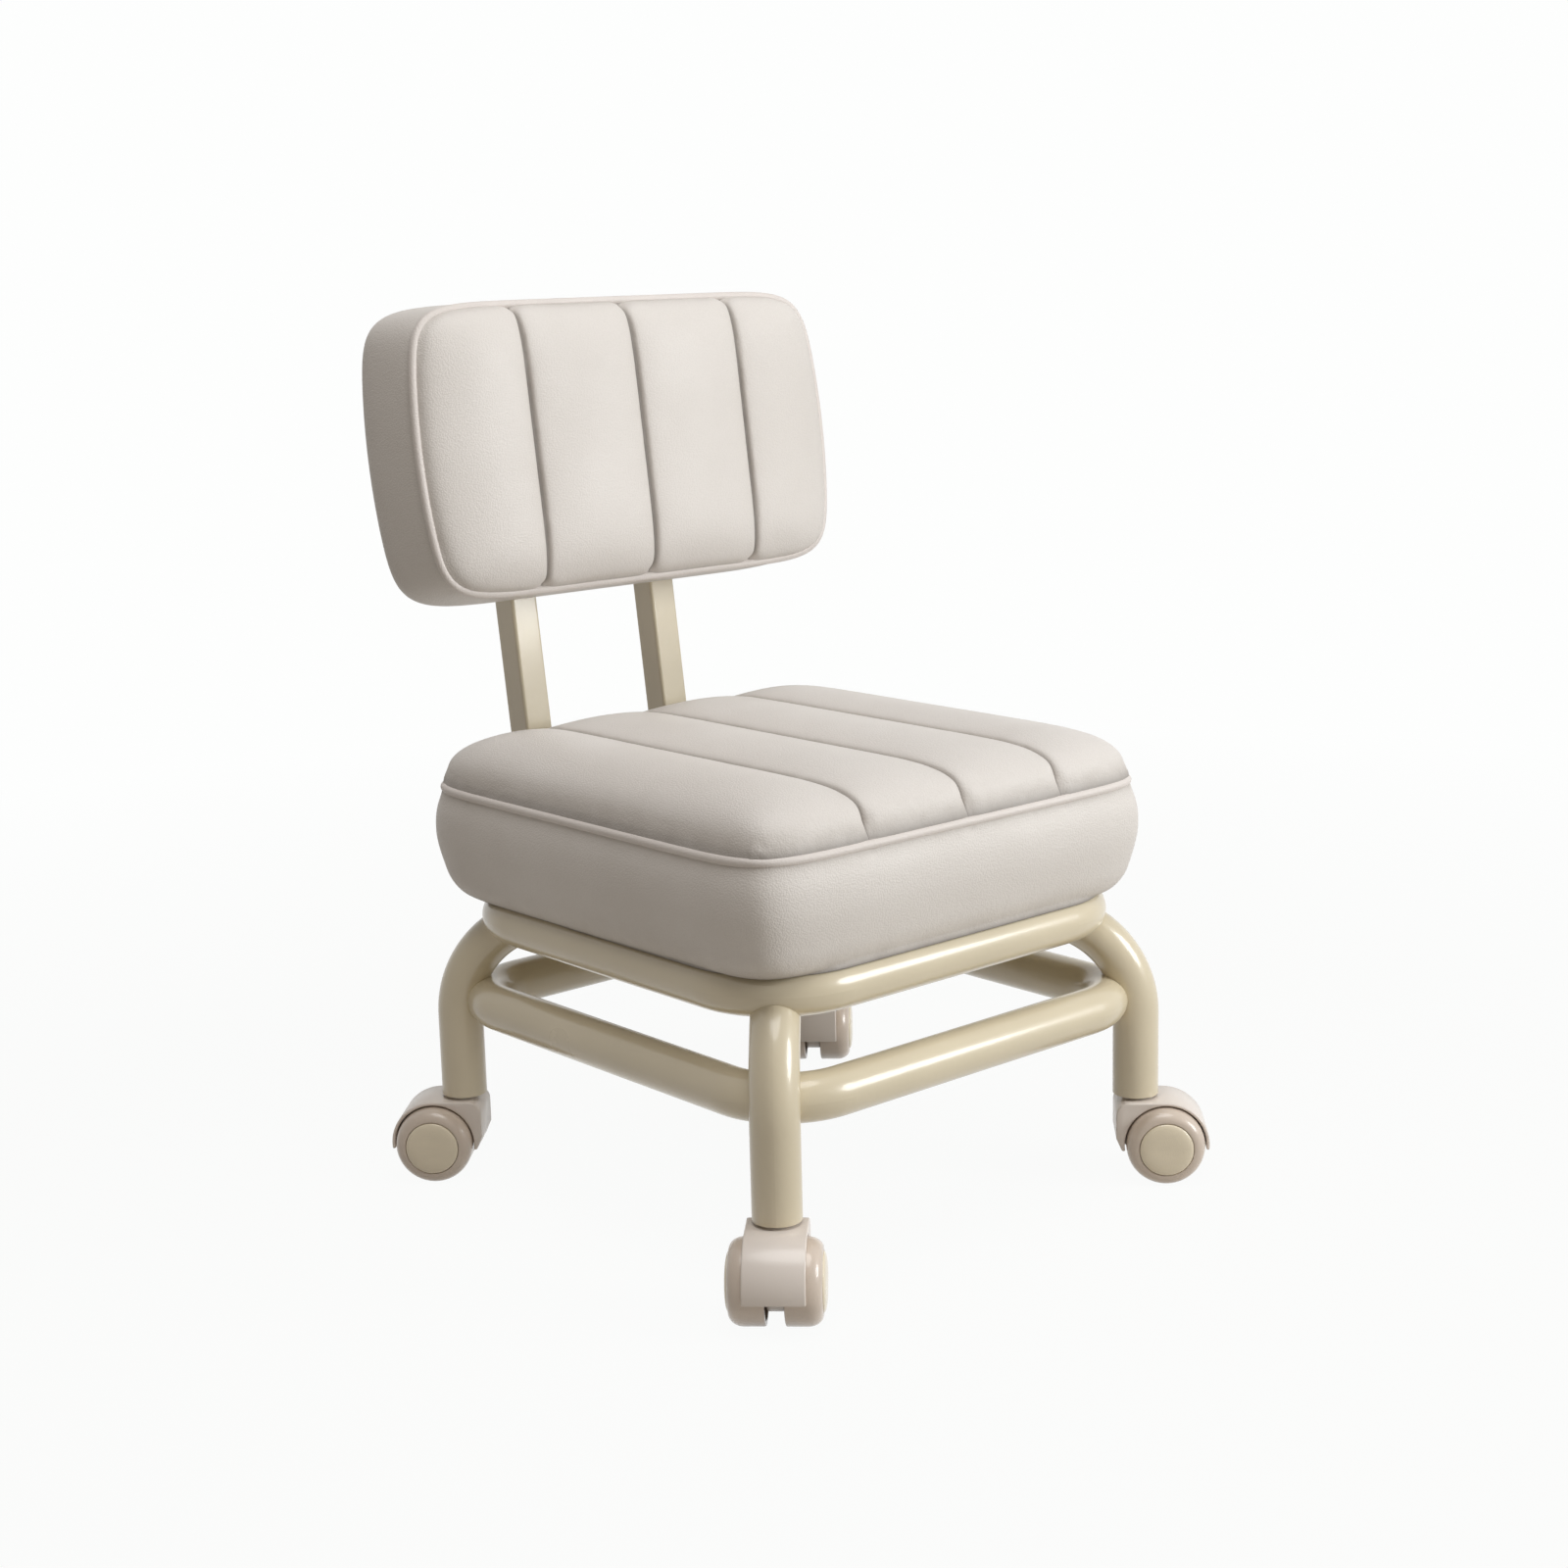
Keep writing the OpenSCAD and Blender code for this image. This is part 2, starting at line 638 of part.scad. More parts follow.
// A boxed cushion lying on its back, piping at z = 0: side holds [z, outward growth] pairs below it
module cushion(half, bow, rise, powers, pitch, depth, side) {
    us = both_ways(across_half(pitch / half[0]));
    vs = both_ways(LENGTH_STEP_SHARES);
    nu = len(us);
    nv = len(vs);
    rim = rim_places(us, vs);
    nr = len(rim);
    top = [for (v = vs, u = us)
        let (p = placed(drawn_in(u, v), half, bow))
        [p[0], p[1], crown(max(abs(u), abs(v)), p[0], rise, powers, pitch, depth)]];
    walls = [for (s = side, q = rim)
        let (p = placed(drawn_in(q[0], q[1]), half + [s[1], s[1]], bow)) [p[0], p[1], s[0]]];
    middle = [[0, 0, side[len(side) - 1][0]]];
    first = nu * nv;
    rings = concat(
        [rim_index(nu, nv)],
        [for (k = [0 : len(side) - 1]) [for (m = [0 : nr - 1]) first + k * nr + m]]
    );
    last = rings[len(side)];
    centre = first + len(side) * nr;
    top_faces = [for (j = [0 : nv - 2], i = [0 : nu - 2], h = [0, 1])
        let (a = j * nu + i, b = a + nu, c = b + 1, d = a + 1) h == 0 ? [a, b, c] : [a, c, d]];
    wall_faces = [for (k = [0 : len(side) - 1], m = [0 : nr - 1], h = [0, 1])
        let (n = (m + 1) % nr, a = rings[k][m], b = rings[k][n], c = rings[k + 1][n], d = rings[k + 1][m])
        h == 0 ? [a, b, c] : [a, c, d]];
    back_faces = [for (m = [0 : nr - 1]) [last[m], last[(m + 1) % nr], centre]];
    polyhedron(points = concat(top, walls, middle), faces = concat(top_faces, wall_faces, back_faces));
}

// Piping round the same outline, in the plane z = 0
module piping(half, bow, pitch) {
    path = [for (q = rim_places(both_ways(across_half(pitch / half[0])), both_ways(LENGTH_STEP_SHARES)))
        placed(drawn_in(q[0], q[1]), half, bow)];
    n = len(path);
    points = [for (m = [0 : n - 1], k = [0 : piping_sides - 1])
        let (
            t = path[(m + 1) % n] - path[(m + n - 1) % n],
            a = 360 * k / piping_sides,
            p = path[m] + [t[1], -t[0]] / norm(t) * piping_d / 2 * cos(a)
        )
        [p[0], p[1], piping_d / 2 * sin(a)]];
    faces = [for (m = [0 : n - 1], k = [0 : piping_sides - 1], h = [0, 1])
        let (a = m * piping_sides + k, b = m * piping_sides + (k + 1) % piping_sides,
            c = (m + 1) % n * piping_sides + (k + 1) % piping_sides, d = (m + 1) % n * piping_sides + k)
        h == 0 ? [a, b, c] : [a, c, d]];
    polyhedron(points = points, faces = faces);
}

module seat_cushion() {
    side = [for (s = SEAT_SIDE_SHARES) [-s[0] * seat_full_h, s[1] * seat_swell - s[2] * seat_edge_in]];
    color(HIDE) difference() {
        at_seat(seat_piping_z) cushion([seat_x, seat_y], 0, seat_crown_h, SEAT_CROWN_POWERS,
            seat_groove_pitch, seat_channel_h, side);
        at_seat(seat_z - cut) core_plate(seat_core + [push_fit, push_fit], seat_board_margin,
            dust_cloth_t + seat_board_t + seat_foam_h + push_fit + cut);
        translate([0, 0, seat_lip_z - cut])
            linear_extrude(height = seat_lip_h + seat_bay_play + cut)
            rounded_square(2 * (upper_x + seat_bay_out), 2 * (upper_y + seat_bay_out),
                upper_corner_r + seat_bay_out);
    }
}

module seat_piping() {
    color(HIDE) at_seat(seat_piping_z) piping([seat_x, seat_y], 0, seat_groove_pitch);
}

// Back: a shape lying on its back, raised to face the sitter with its z = 0 at depth y
module at_back(y) {
    leaning() translate([0, y, back_mid]) rotate([90, 0, 0]) children();
}

module back_board() {
    color(PLYWOOD) difference() {
        at_back(-back_cover_t) core_plate(back_core, back_board_margin, back_board_t);
        for (s = PAIR_SIGNS) back_screw_places(s)
            translate([0, 0, -back_board_front - cut]) cylinder(d = nut_hole_d, h = back_board_t + 2 * cut);
    }
}

module back_foam() {
    color(FOAM) difference() {
        at_back(-back_board_front) core_plate(back_core, back_board_margin, back_foam_d);
        for (s = PAIR_SIGNS) back_screw_places(s)
            translate([0, 0, -back_board_front - nut_flange_t - push_fit])
            cylinder(d = nut_flange_d + 2 * push_fit, h = nut_flange_t + push_fit + cut);
    }
}

module back_cushion() {
    side = [for (s = BACK_SIDE_SHARES) [-s[0] * back_side_d, s[1] * back_flare - s[2] * back_edge_r]];
    color(HIDE) difference() {
        at_back(-back_side_d) cushion([back_x, back_z], back_bow, back_crown_h, BACK_CROWN_POWERS,
            back_groove_pitch, back_channel_h, side);
        at_back(-back_cover_t) core_plate(back_core + [push_fit, push_fit], back_board_margin,
            back_board_t + back_foam_d + push_fit);
        for (s = PAIR_SIGNS) back_screw_places(s)
            translate([0, 0, -back_cover_t - cut]) cylinder(d = screw_hole_d, h = back_cover_t + 2 * cut);
    }
}

module back_piping() {
    color(HIDE) at_back(-back_side_d) piping([back_x, back_z], back_bow, back_groove_pitch);
}

// Casters
module stem(i) {
    color(STEEL) at_leg(i) translate([0, 0, caster_top_z + collar_gap]) {
        translate([0, 0, -swivel_pin_h]) cylinder(d = swivel_pin_d, h = swivel_pin_h);
        cylinder(d = collar_d, h = collar_t);
        cylinder(d = stem_d, h = collar_t + stem_h - stem_chamfer);
        translate([0, 0, collar_t + stem_h - stem_chamfer])
            cylinder(d1 = stem_d, d2 = stem_d - 2 * stem_chamfer, h = stem_chamfer);
    }
}

// The caster body seen from its side: x outward from the swivel line, y up from the floor
module caster_outline() {
    intersection() {
        translate([caster_trail, wheel_r]) circle(r = hood_r);
        translate([caster_trail, wheel_r])
            polygon([[0, 0], [hood_r, -hood_r * tan(hood_droop)], [hood_r, hood_r], [0, hood_r]]);
    }
    translate([nose_r - nose_reach, nose_foot_z])
        square([caster_trail + nose_reach - nose_r, caster_top_z - nose_foot_z]);
    translate([nose_r - nose_reach, caster_top_z - nose_r]) circle(r = nose_r);
    polygon([
        [-nose_reach, caster_top_z - nose_r], [nose_r - nose_reach, caster_top_z - nose_r],
        [nose_r - nose_reach, nose_foot_z], [nose_foot_x, nose_foot_z], [-nose_reach, nose_low_z]
    ]);
}

module caster_body(i) {
    color(PINK_CREAM) at_caster(i) difference() {
        union() {
            rotate([90, 0, 0]) linear_extrude(height = hood_w, center = true) difference() {
                caster_outline();
                translate([caster_trail, wheel_r]) circle(r = hood_in_r);
            }
            rotate([90, 0, 0]) linear_extrude(height = web_t, center = true) {
                caster_outline();
                translate([caster_trail, wheel_r]) circle(d = web_boss_d);
            }
        }
        translate([0, 0, caster_top_z - swivel_pin_h - pin_end_gap])
            cylinder(d = swivel_pin_d + 2 * run_fit, h = swivel_pin_h + pin_end_gap + cut);
        translate([caster_trail, 0, wheel_r]) rotate([90, 0, 0])
            cylinder(d = axle_d, h = web_t + 2 * cut, center = true);
    }
}

// A riveted axle: its two heads keep the wheels on
module axle(i) {
    color(STEEL) at_axle(i, 1) {
        cylinder(d = axle_d, h = 2 * axle_half, center = true);
        for (s = PAIR_SIGNS) translate([0, 0, s * (axle_half - axle_head_t / 2)])
            cylinder(d = axle_head_d, h = axle_head_t, center = true);
    }
}

// A hollow wheel: its hub, its outer side and its rim, with a seat for the cap
module wheel(i, s) {
    bore = axle_d / 2 + run_fit;
    rivet_r = axle_head_d / 2 + axle_head_gap;
    dome_top_r = cap_r + cap_lip;
    rim_r = wheel_r - wheel_wall;
    hollow_end = cap_floor - wheel_wall;
    dome = [for (k = [0 : dome_steps]) let (a = 90 * k / dome_steps)
        [dome_top_r + (wheel_r - dome_top_r) * cos(a), tread_end + wheel_dome_w * sin(a)]];
    color(PINK_CREAM) at_axle(i, s) rotate_extrude() polygon(concat(
        [
            [bore, wheel_in], [hub_d / 2, wheel_in], [hub_d / 2, hollow_end],
            [rim_r - tread_chamfer, hollow_end], [rim_r, tread_end], [rim_r, wheel_in],
            [wheel_r - tread_chamfer, wheel_in], [wheel_r, wheel_in + tread_chamfer]
        ],
        dome,
        [
            [cap_r + push_fit, wheel_end], [cap_r + push_fit, cap_floor], [rivet_r, cap_floor],
            [rivet_r, axle_half - axle_head_t - axle_head_gap],
            [bore, axle_half - axle_head_t - axle_head_gap]
        ]
    ));
}

module cap(i, s) {
    color(CREAM) at_axle(i, s) rotate_extrude() polygon(concat(
        [[0, cap_floor], [cap_r, cap_floor]],
        [for (k = [0 : dome_steps]) let (a = 90 * k / dome_steps)
            [cap_r * pow(cos(a), cap_flat_power), wheel_end + cap_rise * sin(a)]]
    ));
}

upper_ring();
lower_ring();
for (i = [0 : 3]) {
    leg(i);
    socket(i);
    stem(i);
    caster_body(i);
    axle(i);
    for (k = [0, 1]) {
        wheel(i, PAIR_SIGNS[k]);
        cap(i, PAIR_SIGNS[k]);
    }
}
for (k = [0, 1]) {
    post(PAIR_SIGNS[k]);
    post_plug(PAIR_SIGNS[k]);
    seat_rail(PAIR_SIGNS[k]);
}
seat_dust_cloth();
seat_board();
seat_foam();
seat_cushion();
seat_piping();
seat_screws();
seat_tee_nuts();
back_board();
back_foam();
back_cushion();
back_piping();
back_screws();
back_washers();
back_tee_nuts();
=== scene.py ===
"""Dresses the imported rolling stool: its pads, piping, casters, finishes, light and camera."""

import json
import logging
import math
from dataclasses import dataclass
from enum import Enum

import bmesh
import bpy
from mathutils import Matrix, Vector, noise

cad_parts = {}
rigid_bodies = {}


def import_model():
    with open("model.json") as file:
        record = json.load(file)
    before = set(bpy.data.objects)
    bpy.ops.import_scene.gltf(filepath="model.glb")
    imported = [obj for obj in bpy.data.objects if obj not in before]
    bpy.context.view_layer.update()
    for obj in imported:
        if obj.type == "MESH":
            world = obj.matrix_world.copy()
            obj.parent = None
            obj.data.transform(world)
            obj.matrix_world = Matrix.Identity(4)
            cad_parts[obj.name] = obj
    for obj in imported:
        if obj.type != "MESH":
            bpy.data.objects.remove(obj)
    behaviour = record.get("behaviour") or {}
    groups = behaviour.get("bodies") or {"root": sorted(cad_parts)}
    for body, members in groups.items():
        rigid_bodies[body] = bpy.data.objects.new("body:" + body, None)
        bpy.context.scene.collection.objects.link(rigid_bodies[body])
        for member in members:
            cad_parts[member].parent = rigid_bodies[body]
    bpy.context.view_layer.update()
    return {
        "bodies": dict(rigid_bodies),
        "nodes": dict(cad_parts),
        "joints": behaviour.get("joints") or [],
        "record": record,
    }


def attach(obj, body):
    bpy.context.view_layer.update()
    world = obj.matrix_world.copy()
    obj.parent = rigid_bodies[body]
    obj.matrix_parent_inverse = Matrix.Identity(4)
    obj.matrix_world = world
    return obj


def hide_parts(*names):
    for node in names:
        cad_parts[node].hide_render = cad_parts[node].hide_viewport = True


log = logging.getLogger("rolling_stool")

MM = 0.001
TWINS = {"a": -1, "b": 1}

Colour = tuple[float, float, float, float]
Pair = tuple[float, float]


def srgb(red: float, green: float, blue: float) -> Colour:
    """Turns a colour in 0 to 255 display values into Blender's linear values.

    Args:
        red: Red, 0 to 255.
        green: Green, 0 to 255.
        blue: Blue, 0 to 255.

    Returns:
        The linear colour with an alpha of 1.
    """
    parts = [c / 255 for c in (red, green, blue)]
    lin = [c / 12.92 if c <= 0.04045 else ((c + 0.055) / 1.055) ** 2.4 for c in parts]
    return (lin[0], lin[1], lin[2], 1.0)


# Shader tools


class Sock:
    """A socket of a node tree in an expression: each operator adds its Math node."""

    def __init__(self, graph: "Graph", socket: bpy.types.NodeSocket) -> None:
        """Wraps one output socket of a graph."""
        self.graph = graph
        self.socket = socket

    def _math(self, operation: str, first: "Sock | float", second: "Sock | float") -> "Sock":
        """Adds a Math node.

        Args:
            operation: The node's operation.
            first: Its first value.
            second: Its second value.

        Returns:
            The node's output.
        """
        return self.graph.add("ShaderNodeMath", {"operation": operation}, {0: first, 1: second})

    def __add__(self, other: "Sock | float") -> "Sock":
        """self + other."""
        return self._math("ADD", self, other)

    __radd__ = __add__

    def __sub__(self, other: "Sock | float") -> "Sock":
        """self - other."""
        return self._math("SUBTRACT", self, other)

    def __rsub__(self, other: float) -> "Sock":
        """other - self."""
        return self._math("SUBTRACT", other, self)

    def __mul__(self, other: "Sock | float") -> "Sock":
        """self * other."""
        return self._math("MULTIPLY", self, other)

    __rmul__ = __mul__

    def __pow__(self, other: float) -> "Sock":
        """self to the power of other."""
        return self._math("POWER", self, other)


class Graph:
    """The node tree of one material or of the world, with one method that makes any node."""

    def __init__(self, tree: bpy.types.NodeTree) -> None:
        """Empties the tree.

        Args:
            tree: The tree to fill.
        """
        self.tree = tree
        tree.nodes.clear()

    def add(
        self,
        kind: str,
        settings: dict[str, object] | None = None,
        inputs: dict[str | int, object] | None = None,
        output: str | int = 0,
    ) -> Sock | None:
        """Adds a node: its settings first, then the values and links of its sockets.

        Args:
            kind: The node's type.
            settings: Properties of the node; "stops" holds a ramp's positions and colours.
            inputs: Values or links by socket name or number.
            output: The output to return, by name or number.

        Returns:
            The asked output, or None for a node that has none.
        """
        node = self.tree.nodes.new(kind)
        for name, value in (settings or {}).items():
            if name == "stops":
                self._stops(node.color_ramp, value)
            else:
                setattr(node, name, value)
        for key, value in (inputs or {}).items():
            target = node.inputs[key]
            if isinstance(value, Sock):
                self.tree.links.new(value.socket, target)
            else:
                target.default_value = value
        return Sock(self, node.outputs[output]) if len(node.outputs) else None

    @staticmethod
    def _stops(ramp: bpy.types.ColorRamp, stops: list[tuple[float, Colour]]) -> None:
        """Sets a ramp's stops.

        Args:
            ramp: The ramp.
            stops: Position and colour of each stop, at least two.
        """
        while len(ramp.elements) < len(stops):
            ramp.elements.new(0.5)
        for element, (place, colour) in zip(ramp.elements, stops):
            element.position = place
            element.color = colour

    def place(self) -> Sock:
        """The point in Object coordinates, in metres."""
        return self.add("ShaderNodeTexCoord", output="Object")

    def stretched(self, scale: tuple[float, float, float]) -> Sock:
        """Object coordinates scaled along each axis.

        Args:
            scale: Factors along X, Y and Z.

        Returns:
            The scaled coordinates.
        """
        return self.add("ShaderNodeMapping", None, {"Vector": self.place(), "Scale": scale})

    def noise(self, where: Sock, scale: float, detail: float = 3.0, rough: float = 0.5) -> Sock:
        """Noise from 0 to 1.

        Args:
            where: The coordinates.
            scale: Its scale, per metre.
            detail: Octaves.
            rough: Roughness of the octaves.

        Returns:
            The noise's factor.
        """
        return self.add(
            "ShaderNodeTexNoise",
            None,
            {"Vector": where, "Scale": scale, "Detail": detail, "Roughness": rough},
            "Fac",
        )

    def cells(self, where: Sock, scale: float) -> Sock:
        """Distance from the middles of cells.

        Args:
            where: The coordinates.
            scale: Cells per metre.

        Returns:
            The distance, in cells.
        """
        return self.add(
            "ShaderNodeTexVoronoi", {"feature": "F1"}, {"Vector": where, "Scale": scale}, "Distance"
        )

    def ramp(self, value: Sock, low: float, high: float, start: float = 0.0, end: float = 1.0) -> Sock:
        """Maps a value from one span to another, clamped.

        Args:
            value: The value.
            low: Where the span starts.
            high: Where the span ends.
            start: The result at low.
            end: The result at high.

        Returns:
            The mapped value.
        """
        return self.add(
            "ShaderNodeMapRange",
            {"clamp": True},
            {"Value": value, "From Min": low, "From Max": high, "To Min": start, "To Max": end},
        )

    def blend(self, share: Sock, first: Sock | Colour, second: Sock | Colour) -> Sock:
        """Mixes two colours.

        Args:
            share: Share of the second colour.
            first: Colour at 0.
            second: Colour at 1.

        Returns:
            The mixed colour.
        """
        return self.add(
            "ShaderNodeMix",
            {"data_type": "RGBA"},
            {0: share, 6: first, 7: second},
            2,
        )

    def bump(self, height: Sock, distance: float) -> Sock:
        """A Bump node.

        Args:
            height: Height from 0 to 1.
            distance: Metres at a height of 1.

        Returns:
            The bumped normal.
        """
        return self.add("ShaderNodeBump", None, {"Height": height, "Distance": distance, "Strength": 1.0})

    def skin(self, inputs: dict[str | int, object]) -> None:
        """Ends a material with its shader.

        Args:
            inputs: Values and links of the Principled shader's sockets.
        """
        shader = self.add("ShaderNodeBsdfPrincipled", None, inputs)
        self.surface(shader)

    def surface(self, shader: Sock) -> None:
        """Links a shader to the material's output."""
        self.add("ShaderNodeOutputMaterial", None, {"Surface": shader})


# Finishes


@dataclass(frozen=True)
class Finish:
    """A finish with a base colour and a plain roughness, from which each real one derives."""

    name: str
    colour: Colour
    roughness: float = 0.5

    def material(self) -> bpy.types.Material:
        """Makes the finish's material once.

        Returns:
            The material.
        """
        made = bpy.data.materials.get(self.name)
        if made is None:
            made = bpy.data.materials.new(self.name)
            made.use_nodes = True
            made.diffuse_color = self.colour
            self.paint(Graph(made.node_tree))
        return made

    def paint(self, graph: Graph) -> None:
        """Fills the material's node tree.

        Args:
            graph: The tree.
        """
        raise NotImplementedError


@dataclass(frozen=True)
class PowderCoat(Finish):
    """Baked enamel on steel tube: soft gloss, orange peel, faint clouds of dust and a few specks."""

    dust: Colour = (0.3, 0.25, 0.17, 1.0)
    dusty: float = 0.16
    specked: float = 0.5
    cloud_scale: float = 9.0
    speck_scale: float = 160.0
    rub_scale: float = 60.0
    peel_scale: float = 260.0
    peel_height: float = 0.00006
    dulled: float = 0.16
    coat: float = 0.5
    coat_roughness: float = 0.1

    def paint(self, graph: Graph) -> None:
        """Adds the enamel's nodes.

        Args:
            graph: The tree.
        """
        place = graph.place()
        cloudy = graph.noise(place, self.cloud_scale, 2.0, 0.6)
        specks = graph.ramp(graph.cells(place, self.speck_scale), 0.06, 0.0)
        rubbed = graph.ramp(graph.noise(place, self.rub_scale, 3.0, 0.7), 0.58, 0.72)
        tone = graph.blend(graph.ramp(cloudy, 0.3, 0.75, 0.0, self.dusty), self.colour, self.dust)
        tone = graph.blend(specks * rubbed * self.specked, tone, self.dust)
        peel = graph.noise(place, self.peel_scale, 0.0, 0.4)
        dull = self.roughness + self.dulled
        graph.skin(
            {
                "Base Color": tone,
                "Roughness": graph.ramp(cloudy + rubbed * 0.3, 0.3, 1.0, self.roughness, dull),
                "Coat Weight": self.coat,
                "Coat Roughness": self.coat_roughness,
                "Normal": graph.bump(peel, self.peel_height),
            }
        )


@dataclass(frozen=True)
class Leatherette(Finish):
    """Fine-grained coated cloth with creases near its seams. Along the seams runs a darker band, partly
    dirt and partly painted shade, with a thin painted shadow line down in each seam.
    """

    # Tint of the random clouds and pores, and of the seam band, which is partly dust and partly painted
    # shade.
    soil: Colour = (0.3, 0.25, 0.2, 1.0)
    # Colour of the painted shadow line down in the seams; its depth and sharpness follow below.
    crevice: Colour = (0.07, 0.055, 0.045, 1.0)
    clouded: float = 0.07
    soiled: float = 0.34
    pored: float = 0.05
    crevice_depth: float = 0.8
    crevice_power: float = 9.0
    cloud_scale: float = 14.0
    soil_scale: float = 70.0
    crease_scale: float = 240.0
    crease_height: float = 3.0
    grain_scale: float = 950.0
    grain_height: float = 0.00012
    dulled: float = 0.14
    specular: float = 0.42

    def paint(self, graph: Graph) -> None:
        """Adds the cover's nodes; the mesh's attribute "seam" is 1 at a seam.

        Args:
            graph: The tree.
        """
        place = graph.place()
        seam = graph.add("ShaderNodeAttribute", {"attribute_name": "seam"}, None, "Fac")
        pebble = graph.ramp(graph.cells(place, self.grain_scale), 0.05, 0.75, 1.0, 0.0)
        cloudy = graph.noise(place, self.cloud_scale, 2.0, 0.55)
        creases = graph.noise(graph.stretched((1.0, 0.35, 0.6)), self.crease_scale, 1.0, 0.6)
        patches = graph.ramp(graph.noise(place, self.soil_scale, 2.0, 0.6), 0.3, 0.7, 0.45, 1.0)
        # A patchy darker band along the seams, partly dust and partly painted shade; at the sides' foot,
        # where the pad sits on the ring, it is painted shade.
        soiled = seam ** 1.6 * patches
        tone = graph.blend(graph.ramp(cloudy, 0.3, 0.72, 0.0, self.clouded), self.colour, self.soil)
        tone = graph.blend(soiled * self.soiled, tone, self.soil)
        tone = graph.blend((1.0 - pebble) * self.pored, tone, self.soil)
        # A thin dark line down in each seam, at the piping and at the sides' foot: painted shadow.
        tone = graph.blend(seam**self.crevice_power * self.crevice_depth, tone, self.crevice)
        dull = self.roughness + self.dulled
        graph.skin(
            {
                "Base Color": tone,
                "Roughness": graph.ramp(cloudy + soiled * 0.3, 0.3, 1.0, self.roughness, dull),
                "Specular IOR Level": self.specular,
                "Normal": graph.bump(pebble + creases * seam * self.crease_height, self.grain_height),
            }
        )


@dataclass(frozen=True)
class MouldedPlastic(Finish):
    """Injection-moulded plastic: a faint cast texture, flow clouds, and scuffs where it runs."""

    scuff: Colour = (0.2, 0.16, 0.13, 1.0)
    clouded: float = 0.12
    scuffed: float = 0.25
    flow_scale: float = 28.0
    cast_scale: float = 1500.0
    scratch_scale: float = 150.0
    scratch_depth: float = 0.6
    texture_height: float = 0.00004
    dulled: float = 0.2
    coat: float = 0.5
    coat_roughness: float = 0.08

    def paint(self, graph: Graph) -> None:
        """Adds the plastic's nodes.

        Args:
            graph: The tree.
        """
        flow = graph.noise(graph.stretched((1.0, 1.0, 3.0)), self.flow_scale, 3.0, 0.5)
        cast = graph.noise(graph.place(), self.cast_scale, 0.0, 0.5)
        scratches = graph.noise(graph.stretched((9.0, 9.0, 1.0)), self.scratch_scale, 3.0, 0.7)
        scratches = graph.ramp(scratches, 0.62, 0.75)
        tone = graph.blend(graph.ramp(flow, 0.3, 0.7, 0.0, self.clouded), self.colour, self.scuff)
        tone = graph.blend(scratches * self.scuffed, tone, self.scuff)
        dull = self.roughness + self.dulled
        graph.skin(
            {
                "Base Color": tone,
                "Roughness": graph.ramp(flow + scratches * 0.4, 0.3, 1.1, self.roughness, dull),
                "Coat Weight": self.coat,
                "Coat Roughness": self.coat_roughness,
                "Normal": graph.bump(cast - scratches * self.scratch_depth, self.texture_height),
            }
        )


@dataclass(frozen=True)
class BareSteel(Finish):
    """Zinc-plated steel with turning marks and a few dull patches."""

    stain: Colour = (0.2, 0.17, 0.13, 1.0)
    stained: float = 0.6
    turning_scale: float = 900.0
    turning_height: float = 0.00002
    patch_scale: float = 160.0
    dull_metallic: float = 0.75
    dulled: float = 0.3

    def paint(self, graph: Graph) -> None:
        """Adds the steel's nodes.

        Args:
            graph: The tree.
        """
        turned = graph.noise(graph.stretched((0.15, 0.15, 4.0)), self.turning_scale, 2.0, 0.5)
        patches = graph.ramp(graph.noise(graph.place(), self.patch_scale, 5.0, 0.65), 0.5, 0.72)
        dull = self.roughness + self.dulled
        graph.skin(
            {
                "Base Color": graph.blend(patches * self.stained, self.colour, self.stain),
                "Metallic": graph.ramp(patches, 0.0, 1.0, 1.0, self.dull_metallic),
                "Roughness": graph.ramp(patches + turned * 0.3, 0.0, 1.2, self.roughness, dull),
                "Normal": graph.bump(turned, self.turning_height),
            }
        )


@dataclass(frozen=True)
class Plywood(Finish):
    """Birch plywood: long grain on the faces, plies along the edges."""

    dark: Colour = (0.3, 0.16, 0.07, 1.0)
    grain_scales: tuple[float, float, float] = (14.0, 220.0, 14.0)
    ply_scales: tuple[float, float, float] = (5.0, 5.0, 700.0)
    grain_height: float = 0.0002
    dulled: float = 0.2

    def paint(self, graph: Graph) -> None:
        """Adds the wood's nodes.

        Args:
            graph: The tree.
        """
        grain = graph.noise(graph.stretched(self.grain_scales), 1.0, 5.0, 0.65)
        plies = graph.noise(graph.stretched(self.ply_scales), 1.0, 1.0, 0.3)
        share = graph.ramp(grain, 0.35, 0.7, 0.0, 0.5) + graph.ramp(plies, 0.45, 0.6, 0.0, 0.25)
        dull = self.roughness + self.dulled
        graph.skin(
            {
                "Base Color": graph.blend(share, self.colour, self.dark),
                "Roughness": graph.ramp(grain, 0.3, 0.7, self.roughness, dull),
                "Normal": graph.bump(grain, self.grain_height),
            }
        )


